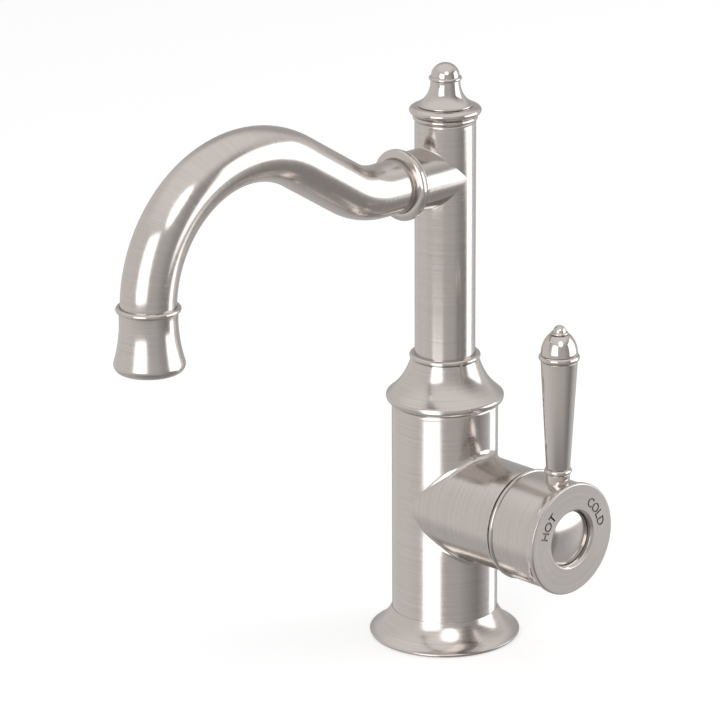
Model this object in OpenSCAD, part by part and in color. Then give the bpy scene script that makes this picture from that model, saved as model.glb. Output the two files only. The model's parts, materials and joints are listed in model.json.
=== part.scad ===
// Single-lever basin mixer tap with an upright column, a swivelling arched spout
// and a turned lever on the right-hand side. Millimetres, +Z up.
// The origin is on the body's axis in the plane of the deck. The spout points
// along -Y and the lever's axis along +X.

/* [Body] */
// Diameter of the upright body
body_d = 44.1; // [43:0.1:46]
// Height of the body's shoulder above the deck
body_h = 103.1; // [98:0.1:108]
// Diameter of the flange on the deck
flange_d = 63.2; // [58:0.1:68]
// Height of the flange
flange_h = 11.7; // [10:0.1:16]
// Height of the flange's rolled edge
flange_edge = 1.5; // [0.8:0.1:2]
// Thickness of the seal under the body
foot_seal_t = 1.5; // [1:0.1:2.5]
// Wall round the space for the hoses under the body
skirt_wall = 4.5; // [3.5:0.1:6]
// Height of that space
cavity_h = 21; // [16:0.5:24]

/* [Inlets and fixing] */
// Tapped diameter of the two hose ports, M10x1
inlet_d = 9; // [8.8:0.1:9.2]
// Depth of their thread
inlet_depth = 10; // [8:0.5:12]
// Distance between the two hose ports
inlet_spacing = 14.4; // [14:0.1:15]
// Tapped diameter of the hole for the fixing stud, M8
stud_d = 6.8; // [6.4:0.1:7]
// Depth of that hole
stud_depth = 14; // [10:0.5:16]

/* [Shoulder collar and swivel] */
// Diameter of the collar's rolled lip
collar_lip_d = 49; // [48:0.1:52]
// Height of the collar
collar_h = 20.7; // [20:0.1:24]
// Diameter of the swivel bore in the body's neck
swivel_d = 22; // [21:0.1:22.5]
// Height of the threaded neck under the collar
neck_h = 8.4; // [7.5:0.1:9]
// Thickness of each thrust washer
thrust_t = 0.8; // [0.6:0.1:1]
// Thickness of the O-rings
o_ring_t = 1.8; // [1.6:0.1:2]

/* [Column] */
// Diameter of the column
column_d = 25; // [24.6:0.1:26]
// Wall of the column
column_wall = 1.6; // [1.3:0.1:1.8]
// Height of the spout's axis above the shoulder
tee_h = 97.5; // [85:0.1:120]
// Length of the column above the spout's axis
column_over = 22.5; // [20:0.1:30]
// Length of the branch from the column's axis
branch_len = 23.2; // [20:0.1:30]

/* [Cap and finial] */
// Diameter of the cap's large bead
cap_d = 29.5; // [28:0.1:32]
// Height of the cap between the column and the finial
cap_h = 6; // [5.8:0.1:9]
// Diameter of the finial's foot
finial_d = 22.8; // [21:0.1:25]
// Height of the finial up to its neck bead
finial_cone_h = 10.5; // [8:0.1:13]
// Diameter of the finial's dome
finial_dome_d = 11.7; // [10:0.1:13]

/* [Spout] */
// Diameter of the spout's tube
spout_d = 22; // [21:0.1:22.6]
// Wall of the spout's tube
spout_wall = 1.2; // [1:0.1:1.5]
// Distance from the column's axis to the outlet's axis
reach = 161; // [150:0.5:180]
// Length of the tube's level run from the branch
level_len = 15; // [13:0.1:20]
// Angle at which the tube climbs
rise_angle = 31.6; // [26:0.1:34]
// Radius of the bend into the climb
rise_r = 35.5; // [32:0.5:46]
// Length of the straight climb
rise_len = 30.6; // [26:0.1:36]
// Diameter of the ring between the branch and the spout
ring_d = 29.5; // [28.6:0.1:32]
// Length of that ring
ring_len = 4.6; // [4.4:0.1:6]

/* [Outlet] */
// Largest diameter of the outlet's bell
bell_d = 28; // [27.6:0.1:30]
// Length of the bell
bell_len = 26.1; // [23:0.1:28]
// Depth of the tube's seat in the bell
tube_seat = 2.6; // [2:0.1:3]
// Diameter of the aerator's thread
aerator_d = 22; // [21:0.1:22.2]
// Length of the aerator
aerator_len = 8; // [7:0.1:9]

/* [Lever housing] */
// Diameter of the side branch that holds the cartridge
housing_d = 43.9; // [43:0.1:44]
// Height of the lever's axis above the deck
lever_axis_z = 60.8; // [58:0.1:64]
// Distance from the body's axis to the branch's mouth
housing_len = 46.4; // [45:0.1:52]

/* [Cartridge] */
// Diameter of the cartridge
cartridge_d = 35; // [34:0.1:35.2]
// Distance from the body's axis to the cartridge's seat
seat_x = 4; // [3:0.1:5]
// Thickness of each ceramic disc
disc_t = 3.5; // [3:0.1:3.8]
// Bore of each port in the cartridge's base
port_d = 5.6; // [5:0.1:5.8]
// Distance from the stem's pivot to the ball at its inner end
stem_arm = 8; // [7:0.1:8.2]
// Largest tilt of the lever, degrees
tilt_max = 20; // [15:1:20]
// Thickness of the stem
stem_d = 10.4; // [9:0.1:10.6]
// Diameter of the stem's pivot pin
pin_d = 4; // [3:0.1:4.2]

/* [Lever hub] */
// Gap between the housing and the hub
hub_gap = 0.4; // [0.3:0.05:0.8]
// Length of the hub
hub_len = 26.35; // [24:0.05:30]
// Wall of the hub's skirt, which passes outside the housing
hub_wall = 1.1; // [0.9:0.05:1.6]
// Depth of the step behind the hub's barrel
hub_step = 0.55; // [0.3:0.05:0.7]
// Height that the front rim stands above the barrel
rim_rise = 0.85; // [0.4:0.05:1.2]
// Diameter of the recess for the button
recess_d = 23.2; // [21:0.1:24]
// Depth of that recess
recess_depth = 6.5; // [6.2:0.1:7]
// Depth of the button's edge below the hub's face
button_set = 2.4; // [1.8:0.1:2.6]
// Height of the button's dome above its edge
button_crown = 1.6; // [1.2:0.1:1.8]

/* [Lever] */
// Distance from the hub's face back to the lever's axis
lever_set_back = 8.45; // [8:0.05:9.2]
// Diameter of the lever's neck
lever_neck_d = 9.7; // [8.6:0.1:10]
// Diameter of the grip at its lower end
grip_bottom_d = 9.8; // [9:0.1:11]
// Diameter of the grip at its upper end
grip_top_d = 15; // [13:0.1:17]
// Length of the grip between its beads
grip_len = 45.8; // [38:0.1:60]
// Diameter of the bead at the grip's upper end
grip_bead_d = 16.7; // [15:0.1:19]
// Height of the cap's dome
cap_dome_h = 9.8; // [8:0.1:12]
// Diameter of the stud that holds the lever, M6
lever_stud_d = 6; // [5:0.1:6.2]

/* [Hidden] */
$fn = 64;

nickel = [0.71, 0.68, 0.66];
bright_nickel = [0.8, 0.78, 0.76];
yellow_brass = [0.78, 0.63, 0.33];
white_plastic = [0.92, 0.92, 0.9];
grey_plastic = [0.55, 0.56, 0.58];
white_ceramic = [0.96, 0.95, 0.92];
black_rubber = [0.12, 0.12, 0.12];
stainless = [0.75, 0.76, 0.78];

// Clearance of a seat that doesn't move
seat_gap = 0.05;
// Radial clearance of a running fit
run_gap = 0.05;
// Length by which a cut runs past a face
past = 1;
// Size of a small broken edge
edge = 0.5;

// Body
body_r = body_d / 2;
housing_r = housing_d / 2;
flange_r = flange_d / 2;
flange_bore_r = body_r + seat_gap;
cavity_r = body_r - skirt_wall;
cavity_top = foot_seal_t + cavity_h;
inlet_x = -6;
stud_x = 9.5;

// Cartridge, as distances along the lever's axis
cartridge_r = cartridge_d / 2;
cartridge_wall = 2.5;
cartridge_bore_r = cartridge_r - cartridge_wall;
base_t = 4;
seal_proud = 0.3;
seal_t = 1.6;
film = 0.05;
carrier_t = 1.9;
block_t = 7;
guide_t = 9.2;
front_wall_t = 6.9;
base_x = seat_x + seal_proud;
fixed_disc_x = base_x + base_t;
moving_disc_x = fixed_disc_x + disc_t + film;
carrier_x = moving_disc_x + disc_t;
block_x = carrier_x + carrier_t;
block_end_x = block_x + block_t;
turret_x = block_x + 2 * film;
turret_flange_end_x = turret_x + guide_t;
front_wall_x = turret_flange_end_x + 2 * film;
cartridge_end_x = front_wall_x + front_wall_t;
turret_end_x = cartridge_end_x + 2;
pivot_x = front_wall_x + 3.4;
ball_x = pivot_x - stem_arm;
ball_r = 3.3;
tail_r = 2.2;
ball_gap = 0.1;
stem_flat = 7.2;
disc_travel = stem_arm * tilt_max * PI / 180;
moving_disc_r = cartridge_bore_r - disc_travel - 0.3;
block_w = 13;
block_half_h = 6;
turret_flange_r = cartridge_bore_r - 0.3;
turret_neck_r = 11.5;
slot_half_h = 8;

// Ports as [along +Y, along +Z] from the lever's axis: hot, cold, mixed
inlet_y = inlet_spacing / 2;
port_r = port_d / 2;
ports = [[-inlet_y, 5.5], [inlet_y, 5.5], [0, -4.6]];
port_seal_in_r = port_r + 0.4;
port_seal_out_r = port_seal_in_r + 1.4;
peg_r = 1.6;
peg_len = 2.5;
peg_pos = cartridge_r - 3.2;
mixed_x = -7;

// Swivel, as heights
swivel_r = swivel_d / 2;
swivel_floor = lever_axis_z + cartridge_r + 3.7;
neck_r = 15.6;
neck_top = body_h + neck_h;
spigot_r = swivel_r - run_gap;
spigot_bore_r = spigot_r - 3.5;
spigot_flange_r = 14.2;
spigot_flange_t = 2.2;
flange_z = neck_top + thrust_t + run_gap;
pipe_z = flange_z + spigot_flange_t;
upper_washer_z = pipe_z + run_gap;
collar_shelf_z = upper_washer_z + thrust_t;
collar_top = body_h + collar_h;
groove_depth = o_ring_t - 2 * run_gap;
swivel_ring_zs = [for (part = [0.305, 0.576]) swivel_floor + part * (neck_top - swivel_floor)];
spigot_tenon_len = 12;

// Column and cap
column_r = column_d / 2;
column_bore_r = column_r - column_wall;
branch_r = column_r - 0.1;
branch_bore_r = branch_r - column_wall;
tee_z = body_h + tee_h;
column_top = tee_z + column_over;
cap_r = cap_d / 2;
cap_crown_h = 1.9;
cap_top = column_top + cap_h;
plug_r = column_bore_r - seat_gap;
plug_len = column_over - branch_r - 1;
finial_r = finial_d / 2;
finial_dome_r = finial_dome_d / 2;
finial_stud_r = 3;
finial_stud_len = 8;
finial_foot_h = 0.9;
neck_bead_h = 1.6;

// Spout
spout_r = spout_d / 2;
spout_bore_r = spout_r - spout_wall;
tube_y = branch_len + seat_gap;
rise_y = branch_len + level_len;
rise_end = [rise_y + rise_r * sin(rise_angle), tee_z + rise_r * (1 - cos(rise_angle))];
crest_start = rise_end + rise_len * [cos(rise_angle), sin(rise_angle)];
crest_r = (reach - crest_start[0]) / (1 + sin(rise_angle));
crest_centre = crest_start + crest_r * [sin(rise_angle), -cos(rise_angle)];
spout_end_z = crest_centre[1];
ring_r = ring_d / 2;
bend_swell = 0.06;
bend_lap = 0.4;
nipple_len = 9;
nipple_bore_r = spout_bore_r - 2.2;

// Outlet, as heights
bell_r = bell_d / 2;
bell_top = spout_end_z + 1.9;
bell_bottom = bell_top - bell_len;
tube_end_z = bell_top - tube_seat;
bell_neck_r = spout_r + 0.57;
tube_seat_r = spout_r + bend_swell + seat_gap;
aerator_r = aerator_d / 2;
aerator_bottom = bell_bottom + 1.2;
aerator_top = aerator_bottom + aerator_len;
aerator_bore_r = aerator_r - 1.5;
washer_t = 1.9;
insert_z = aerator_bottom + 1;

// Dome and hub. The dome is part of a sphere round the stem's pivot, and the
// hub's cavity is part of a slightly larger one, so the gap stays the same.
mouth_x = housing_len;
dome_r = norm([mouth_x - pivot_x, housing_r - 0.3]);
hub_cavity_r = dome_r + 0.6;
dome_skirt_len = 5.2;
dome_t = 1.7;
thread_r = cartridge_r + 1.5;
nut_x = cartridge_end_x + seat_gap;
nut_end_x = mouth_x - dome_skirt_len - 0.15;
nut_bore_r = turret_neck_r + 1.2;
stem_r = stem_d / 2;
dome_hole_r = hub_cavity_r * sin(tilt_max) + stem_r + 0.2;
hub_x = mouth_x + hub_gap;
face_x = hub_x + hub_len;
skirt_r = sqrt(pow(hub_cavity_r, 2) - pow(hub_x - pivot_x, 2)) + hub_wall;
barrel_r = skirt_r - hub_step;
rim_r = barrel_r + rim_rise;
recess_r = recess_d / 2;
recess_x = face_x - recess_depth;
socket_end_x = recess_x - 2;
stem_square = stem_r * sqrt(2);
screw_r = 2.5;
screw_head_r = 4.5;
screw_len = 7;

// Button
button_r = recess_r - 0.2;
button_x = recess_x + 0.3;
button_edge_x = face_x - button_set;
button_wall = 1.5;
button_groove_x = button_x + 1.2;
button_ring_r = 0.5;

// Lever, as heights
lever_x = face_x - lever_set_back;
lever_stud_r = lever_stud_d / 2;
lever_foot_z = lever_axis_z + barrel_r - 1.5;
lever_bead_z = lever_axis_z + barrel_r + 5;
lever_bead_h = 2.3;
lever_bead_r = lever_neck_d / 2 + 0.8;
grip_z = lever_bead_z + lever_bead_h / 2;
grip_top_z = grip_z + grip_len;
grip_bead_h = 2.8;
grip_end_z = grip_top_z + grip_bead_h;
lever_stud_z = lever_axis_z + recess_r + 1;
lever_stud_end = grip_z + 6;
cap_spigot_r = 2.5;
cap_spigot_len = 8;
dome_base_r = grip_bead_d / 2 - 0.8;
tip_r = 2.7;

// Points on an oval round the centre c, of half-width a and half-height b
function oval(c, a, b, from, to, n = 8) =
    [for (i = [0 : n]) let (t = from + (to - from) * i / n) c + [a * cos(t), b * sin(t)]];

// Points on an arc of radius r round the centre c
function arc(c, r, from, to, n = 8) = oval(c, r, r, from, to, n);

// Points on an upright quarter oval from [a, z] up to [0, z + b]
function dome(a, b, z, to = 90, n = 8) = oval([0, z], a, b, 0, to, n);

// Points on a cubic curve from p to s, leaving towards q and arriving from r
function curve(p, q, r, s, n = 10) =
    [for (i = [0 : n]) let (t = i / n, u = 1 - t)
        u * u * u * p + 3 * u * u * t * q + 3 * u * t * t * r + t * t * t * s];

// Outer side of a half-round bead of radius r and height h, from z upwards
function bead(r, z, h, n = 8) = arc([r - h / 2, z + h / 2], h / 2, -90, 90, n);

// Turns a profile of [radius, height] points about the Z axis
module turned(profile) rotate_extrude() polygon(profile);

// A plain ring
module ring(r_in, r_out, z, h) translate([0, 0, z]) difference() {
    cylinder(r = r_out, h = h);
    translate([0, 0, -past]) cylinder(r = r_in, h = h + 2 * past);
}

// An O-ring with its middle at height z, in a groove below the radius r
module o_ring(r, z, t) translate([0, 0, z]) rotate_extrude()
    translate([r - t / 2, 0]) circle(r = t / 2);

// Lays what was drawn along Z on the lever's axis, so that heights become
// distances along +X, and +X becomes down
module on_lever_axis() translate([0, 0, lever_axis_z]) rotate([0, 90, 0]) children();

// Lays what was drawn along Z on the spout's axis, so that heights become
// distances along -Y, and +Y becomes up
module on_spout_axis() translate([0, 0, tee_z]) rotate([90, 0, 0]) children();

// Puts a copy of what follows on each port of the cartridge
module at_ports() for (p = ports) translate([-p[1], p[0], 0]) children();

// Flange with a hollow face that covers the hole in the deck
module base_flange() color(nickel) turned(concat(
    [[flange_bore_r, 0], [flange_r - 0.6, 0], [flange_r - 0.15, 0.4 * flange_edge],
        [flange_r, 0.8 * flange_edge]],
    curve([flange_r - 0.3, flange_edge],
        [flange_r - 0.4 * (flange_r - flange_bore_r), flange_edge + 0.9],
        [flange_bore_r + 0.165 * (flange_r - flange_bore_r), 0.684 * flange_h],
        [flange_bore_r + 0.12, flange_h], 12),
    [[flange_bore_r, flange_h]]));

// Rubber ring on which the body stands
module base_seal() color(black_rubber)
    ring(cavity_r + 0.5, body_r - seat_gap, 0, foot_seal_t);

// Drilled passages for hot, cold and mixed water
module waterways() {
    for (side = [-1, 1]) {
        translate([inlet_x, side * inlet_y, cavity_top - past])
            cylinder(d = inlet_d, h = inlet_depth + past);
        translate([inlet_x, side * inlet_y, cavity_top])
            cylinder(r = port_r, h = lever_axis_z + ports[0][1] - cavity_top);
    }
    for (p = ports) {
        from_x = p[0] == 0 ? mixed_x : inlet_x;
        translate([from_x, p[0], lever_axis_z + p[1]]) {
            rotate([0, 90, 0]) cylinder(r = port_r, h = seat_x + past - from_x);
            sphere(r = port_r);
        }
    }
    translate([mixed_x, 0, lever_axis_z + ports[2][1]])
        cylinder(r = port_r, h = swivel_floor + past - lever_axis_z - ports[2][1]);
}

// Cast body: the upright barrel, the side branch that takes the cartridge, the
// neck that carries the collar, and the space for hoses underneath
module body() color(nickel) difference() {
    union() {
        translate([0, 0, foot_seal_t]) cylinder(r = body_r, h = body_h - foot_seal_t);
        translate([0, 0, body_h - past]) cylinder(r = neck_r, h = neck_h + past);
        on_lever_axis() cylinder(r = housing_r, h = mouth_x);
    }
    translate([0, 0, foot_seal_t - past]) cylinder(r = cavity_r, h = cavity_h + past);
    translate([stud_x, 0, cavity_top - past]) cylinder(d = stud_d, h = stud_depth + past);
    translate([0, 0, swivel_floor]) cylinder(r = swivel_r, h = neck_top + past - swivel_floor);
    on_lever_axis() {
        translate([0, 0, seat_x]) cylinder(r = cartridge_r + seat_gap, h = mouth_x);
        translate([0, 0, nut_x - seat_gap]) cylinder(r = thread_r, h = mouth_x);
        for (side = [-1, 1]) translate([0, side * peg_pos, seat_x - peg_len - seat_gap])
            cylinder(r = peg_r + seat_gap, h = peg_len + past);
    }
    waterways();
}

// Bell-shaped collar that screws on the body's neck and keeps the column in
module shoulder_collar() color(nickel) {
    lip_r = collar_lip_d / 2;
    lip_w = 1.46;
    lip_z = body_h + 2.27;
    bead_h = 2.27;
    turned(concat(
        [[neck_r + seat_gap, body_h]],
        oval([lip_r - lip_w, lip_z], lip_w, lip_z - body_h, -90, 0, 6),
        oval([lip_r - lip_w, lip_z], lip_w, 1.41, 13, 39, 2),
        curve([lip_r - 0.54, body_h + 3.4], [lip_r - 3.23, body_h + 5.55],
            [column_r + 4.21, collar_top - 11.2], [column_r + 1.6, collar_top - bead_h], 12),
        bead(column_r + 2.26, collar_top - bead_h + 0.05, bead_h - 0.05),
        [[column_r + run_gap, collar_top],
            [column_r + run_gap, collar_shelf_z], [spigot_flange_r + 0.3, collar_shelf_z],
            [spigot_flange_r + 0.3, neck_top + seat_gap],
            [neck_r + seat_gap, neck_top + seat_gap]]));
}

module lower_thrust_washer() color(white_plastic)
    ring(swivel_r + 0.2, spigot_flange_r, neck_top, thrust_t);

module upper_thrust_washer() color(white_plastic)
    ring(column_r + 0.1, spigot_flange_r, upper_washer_z, thrust_t);

// Foot of the column: it turns in the neck, and its flange is held by the collar
module swivel_spigot() color(yellow_brass) difference() {
    union() {
        translate([0, 0, swivel_floor + past])
            cylinder(r = spigot_r, h = flange_z - swivel_floor);
        translate([0, 0, flange_z]) cylinder(r = spigot_flange_r, h = spigot_flange_t);
        translate([0, 0, flange_z]) cylinder(r = column_bore_r - seat_gap, h = spigot_tenon_len);
    }
    translate([0, 0, swivel_floor])
        cylinder(r = spigot_bore_r, h = flange_z + spigot_tenon_len + past - swivel_floor);
    for (z = swivel_ring_zs)
        ring(swivel_r - o_ring_t, swivel_r + past, z - o_ring_t / 2 - 0.2, o_ring_t + 0.4);
}

module swivel_o_rings() color(black_rubber)
    for (z = swivel_ring_zs) o_ring(swivel_r - 0.02, z, o_ring_t - 0.04);

// Column with the branch for the spout
module column() color(nickel) difference() {
    union() {
        translate([0, 0, pipe_z]) cylinder(r = column_r, h = column_top - pipe_z);
        on_spout_axis() cylinder(r = branch_r, h = branch_len);
    }
    translate([0, 0, pipe_z - past])
        cylinder(r = column_bore_r, h = column_top - pipe_z + 2 * past);
    on_spout_axis() cylinder(r = branch_bore_r, h = branch_len + past);
}

// Turned cap with a plug that seals the column's top
module column_cap() color(nickel) difference() {
    turned(concat(
        [[0, column_top - plug_len], [plug_r, column_top - plug_len], [plug_r, column_top]],
        bead(column_r + 0.75, column_top, 2.2, 6),
        oval([cap_r - 2.08, cap_top - cap_crown_h], 2.08, 1.7, -90, 0, 6),
        oval([cap_r - 3.1, cap_top - cap_crown_h], 3.1, cap_crown_h, 13, 90, 6),
        [[0, cap_top]]));
    ring(column_bore_r - o_ring_t, column_r, column_top - plug_len / 2 - o_ring_t / 2 - 0.2,
        o_ring_t + 0.4);
    translate([0, 0, cap_top - finial_stud_len - 1])
        cylinder(r = finial_stud_r + seat_gap, h = finial_stud_len + 1 + past);
}

module cap_o_ring() color(black_rubber)
    o_ring(column_bore_r - 0.02, column_top - plug_len / 2, o_ring_t - 0.04);

// Finial: a foot bead, a hollow cone, a neck bead and a dome
module finial() color(nickel) {
    neck_z = cap_top + finial_cone_h;
    translate([0, 0, cap_top - finial_stud_len]) cylinder(r = finial_stud_r, h = finial_stud_len + past);
    turned(concat(
        [[0, cap_top]],
        bead(finial_r, cap_top, finial_foot_h, 4),
        curve([finial_r - 0.4, cap_top + finial_foot_h], [finial_r - 3, cap_top + 2.2],
            [finial_dome_r + 0.06, cap_top + 0.55 * finial_cone_h],
            [finial_dome_r + 0.21, neck_z], 12),
        bead(finial_dome_r + 0.9, neck_z + 0.05, neck_bead_h - 0.05, 6),
        dome(finial_dome_r, finial_dome_r - 0.28, neck_z + neck_bead_h)));
}

// The spout's course as a solid of radius r, longer by extra at both ends. The
// straight runs end inside the bends, which are thicker by bend_swell.
module spout_run(r, extra) {
    on_spout_axis() translate([0, 0, tube_y - extra])
        cylinder(r = r, h = rise_y + bend_lap - tube_y + extra);
    bend([rise_y, tee_z + rise_r], rise_r, 270 - rise_angle, rise_angle, r + bend_swell);
    translate([0, -rise_end[0], rise_end[1]]) rotate([90 - rise_angle, 0, 0])
        translate([0, 0, -bend_lap]) cylinder(r = r, h = rise_len + 2 * bend_lap);
    bend(crest_centre, crest_r, 90 - rise_angle, 90 + rise_angle, r + bend_swell);
    translate([0, -reach, tube_end_z - extra])
        cylinder(r = r, h = spout_end_z + bend_lap - tube_end_z + extra);
}

// Bend in the YZ plane round a centre given as [distance along -Y, height]
module bend(centre, bend_r, from, sweep, r) translate([0, -centre[0], centre[1]])
    rotate([90, 0, 90]) rotate([0, 0, from]) rotate_extrude(angle = sweep)
        translate([bend_r, 0]) circle(r = r);

// Arched spout: level, a bend up, a straight climb and one long bend down
module spout_tube() color(nickel) difference() {
    spout_run(spout_r, 0);
    spout_run(spout_bore_r, past);
}

// Ring that covers the joint of the branch and the spout
module union_ring() color(nickel) on_spout_axis() turned(concat(
    [[spout_r + seat_gap, branch_len]],
    bead(ring_r - 0.75, branch_len, 0.9, 6),
    [[ring_r - 1.55, branch_len + 1.15]],
    oval([ring_r - 1.1, branch_len + 2.4], 1.1, 1, -90, 0, 5),
    oval([spout_r + 0.3, branch_len + ring_len - 1.6], ring_r - spout_r - 0.3, 1.6, 0, 90, 8),
    [[spout_r + seat_gap, branch_len + ring_len]]));

// Nipple that joins the branch to the spout's tube
module spout_nipple() color(yellow_brass) on_spout_axis() difference() {
    union() {
        translate([0, 0, branch_len - nipple_len])
            cylinder(r = branch_bore_r - seat_gap, h = nipple_len);
        translate([0, 0, branch_len - past])
            cylinder(r = spout_bore_r - seat_gap, h = level_len - 2 + past);
    }
    cylinder(r = nipple_bore_r, h = 2 * branch_len + level_len);
    ring(branch_bore_r - o_ring_t, column_r, branch_len - nipple_len / 2 - o_ring_t / 2 - 0.2,
        o_ring_t + 0.4);
}

module nipple_o_ring() color(black_rubber) on_spout_axis()
    o_ring(branch_bore_r - 0.02, branch_len - nipple_len / 2, o_ring_t - 0.04);

// Bell at the end of the spout, with the tube's seat above and the aerator's below
module outlet_bell() color(nickel) translate([0, -reach, 0]) turned(concat(
    [[aerator_r + seat_gap, bell_bottom]],
    oval([bell_r - 2.75, bell_bottom + 3.02], 2.75, 3.02, -90, 13, 8),
    curve([bell_r - 0.15, bell_bottom + 4], [bell_r - 1.3, bell_bottom + 7.7],
        [bell_neck_r - 0.64, bell_top - 10.26], [bell_neck_r, bell_top - 2.18], 12),
    bead(bell_neck_r + 1.2, bell_top - 2.13, 2.13, 6),
    [[tube_seat_r, bell_top], [tube_seat_r, tube_end_z],
        [spout_bore_r - 0.2, tube_end_z], [spout_bore_r - 0.2, aerator_top + washer_t + seat_gap],
        [aerator_r + seat_gap, aerator_top + washer_t + seat_gap]]));

module aerator_washer() color(black_rubber) translate([0, -reach, 0])
    ring(aerator_bore_r - 1.5, aerator_r, aerator_top, washer_t);

// Threaded ring of the aerator, with two flats for a key
module aerator_housing() color(nickel) translate([0, -reach, 0]) difference() {
    ring(aerator_bore_r, aerator_r, aerator_bottom, aerator_len);
    for (side = [-1, 1]) translate([side * aerator_r, 0, aerator_bottom])
        cube([1.2, 6, 2], center = true);
}

// Moulded core of the aerator, with rings of holes
module aerator_insert() color(grey_plastic) translate([0, -reach, 0]) difference() {
    translate([0, 0, insert_z]) cylinder(r = aerator_bore_r - seat_gap, h = aerator_top - insert_z);
    for (row = [[3, 6], [6.6, 12]]) for (i = [0 : row[1] - 1])
        rotate([0, 0, 360 * i / row[1]]) translate([row[0], 0, insert_z - past])
            cylinder(r = 0.9, h = aerator_len + past, $fn = 16);
}

module aerator_mesh() color(stainless) translate([0, -reach, aerator_bottom + 0.2])
    cylinder(r = aerator_bore_r - seat_gap, h = 0.75);

// Housing of the cartridge: base with ports and pegs, side wall and front wall
module cartridge_housing() color(white_plastic) on_lever_axis() difference() {
    union() {
        translate([0, 0, base_x]) cylinder(r = cartridge_r, h = cartridge_end_x - base_x);
        for (side = [-1, 1]) translate([0, side * peg_pos, base_x - peg_len])
            cylinder(r = peg_r, h = peg_len + past);
    }
    translate([0, 0, fixed_disc_x]) cylinder(r = cartridge_bore_r, h = front_wall_x - fixed_disc_x);
    translate([0, 0, front_wall_x - past])
        cylinder(r = turret_neck_r + run_gap, h = front_wall_t + 2 * past);
    at_ports() translate([0, 0, base_x - past]) cylinder(r = port_r, h = base_t + 2 * past);
    at_ports() ring(port_seal_in_r - seat_gap, port_seal_out_r + seat_gap,
        base_x - past, seal_t - seal_proud + seat_gap + past);
}

module port_seals() color(black_rubber) on_lever_axis() at_ports()
    ring(port_seal_in_r, port_seal_out_r, seat_x, seal_t);

// Kidney-shaped slot through a disc, centred on the angle a
module kidney(a, x, h) translate([0, 0, x]) rotate([0, 0, a - 20])
    rotate_extrude(angle = 40) translate([6.3, 0]) square([3.7, h]);

// Ceramic disc with one slot for each inlet and a hole for the outlet
module fixed_disc() color(white_ceramic) on_lever_axis() difference() {
    translate([0, 0, fixed_disc_x]) cylinder(r = cartridge_bore_r - seat_gap, h = disc_t);
    for (a = [130, 230]) kidney(a, fixed_disc_x - past, disc_t + 2 * past);
    translate([-ports[2][1], 0, fixed_disc_x - past]) cylinder(r = port_r, h = disc_t + 2 * past);
}

// Ceramic disc that slides over the fixed one, with a blind mixing chamber
module moving_disc() color(white_ceramic) on_lever_axis() difference() {
    translate([0, 0, moving_disc_x]) cylinder(r = moving_disc_r, h = disc_t);
    translate([2.6, 0, moving_disc_x - past]) cylinder(r = 6.6, h = disc_t / 2 + past);
}

// Block that carries the moving disc and takes the stem's ball
module disc_carrier() color(grey_plastic) on_lever_axis() difference() {
    union() {
        translate([0, 0, carrier_x]) cylinder(r = moving_disc_r, h = carrier_t);
        translate([-block_half_h, -block_w / 2, block_x - past])
            cube([2 * block_half_h, block_w, block_t + past]);
    }
    translate([0, 0, ball_x - ball_r - 0.3]) cylinder(r = ball_r + ball_gap, h = block_t + 2 * ball_r);
}

// Turret that turns with the lever: it guides the carrier and holds the pivot pin
module turret() color(white_plastic) on_lever_axis() difference() {
    pocket_half_h = block_half_h + disc_travel + 0.3;
    union() {
        translate([0, 0, turret_x]) cylinder(r = turret_flange_r, h = guide_t);
        translate([0, 0, turret_flange_end_x - past])
            cylinder(r = turret_neck_r, h = turret_end_x - turret_flange_end_x + past);
    }
    translate([-pocket_half_h, -block_w / 2 - run_gap, turret_x - past])
        cube([2 * pocket_half_h, block_w + 2 * run_gap, block_end_x + 0.3 - turret_x + past]);
    translate([-slot_half_h, -stem_flat / 2 - 0.1, turret_x])
        cube([2 * slot_half_h, stem_flat + 0.2, turret_end_x]);
    translate([0, -turret_neck_r - past, pivot_x]) rotate([-90, 0, 0])
        cylinder(r = pin_d / 2 + 0.02, h = 2 * turret_neck_r + 2 * past);
}

module stem_pin() color(stainless) on_lever_axis()
    translate([0, -turret_neck_r + 0.9, pivot_x]) rotate([-90, 0, 0])
        cylinder(d = pin_d, h = 2 * turret_neck_r - 1.8);

// Stem: a ball in the carrier, a flat barrel on the pin, a round shank through
// the dome and a square end in the hub
module stem() color(yellow_brass) on_lever_axis() difference() {
    barrel_half = 7.4;
    shank_end = sqrt(pow(hub_cavity_r, 2) - pow(stem_r, 2)) - 0.1;
    union() {
        translate([0, 0, ball_x]) sphere(r = ball_r);
        translate([0, 0, ball_x]) cylinder(r = tail_r, h = stem_arm);
        intersection() {
            translate([0, 0, pivot_x - 3.6]) cylinder(r = stem_r, h = barrel_half + 3.6);
            translate([-stem_r, -stem_flat / 2, pivot_x - stem_arm])
                cube([2 * stem_r, stem_flat, stem_arm + 2 * barrel_half]);
        }
        translate([0, 0, pivot_x + barrel_half])
            cylinder(r = stem_r, h = shank_end - barrel_half);
        translate([-stem_square / 2, -stem_square / 2, pivot_x + hub_cavity_r - past])
            cube([stem_square, stem_square, socket_end_x - pivot_x - hub_cavity_r + past]);
    }
    translate([0, -stem_r - past, pivot_x]) rotate([-90, 0, 0])
        cylinder(r = pin_d / 2 + run_gap, h = stem_d + 2 * past);
    translate([0, 0, socket_end_x + 1 - screw_len]) cylinder(r = screw_r, h = screw_len + past);
}

// Ring nut that clamps the cartridge, with slots for a key
module cartridge_nut() color(yellow_brass) on_lever_axis() difference() {
    ring(nut_bore_r, thread_r - seat_gap, nut_x, nut_end_x - nut_x);
    for (i = [0 : 5]) rotate([0, 0, 60 * i]) translate([thread_r - 3, -1.5, nut_end_x - 2.5])
        cube([2, 3, 2.5 + past]);
}

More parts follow.
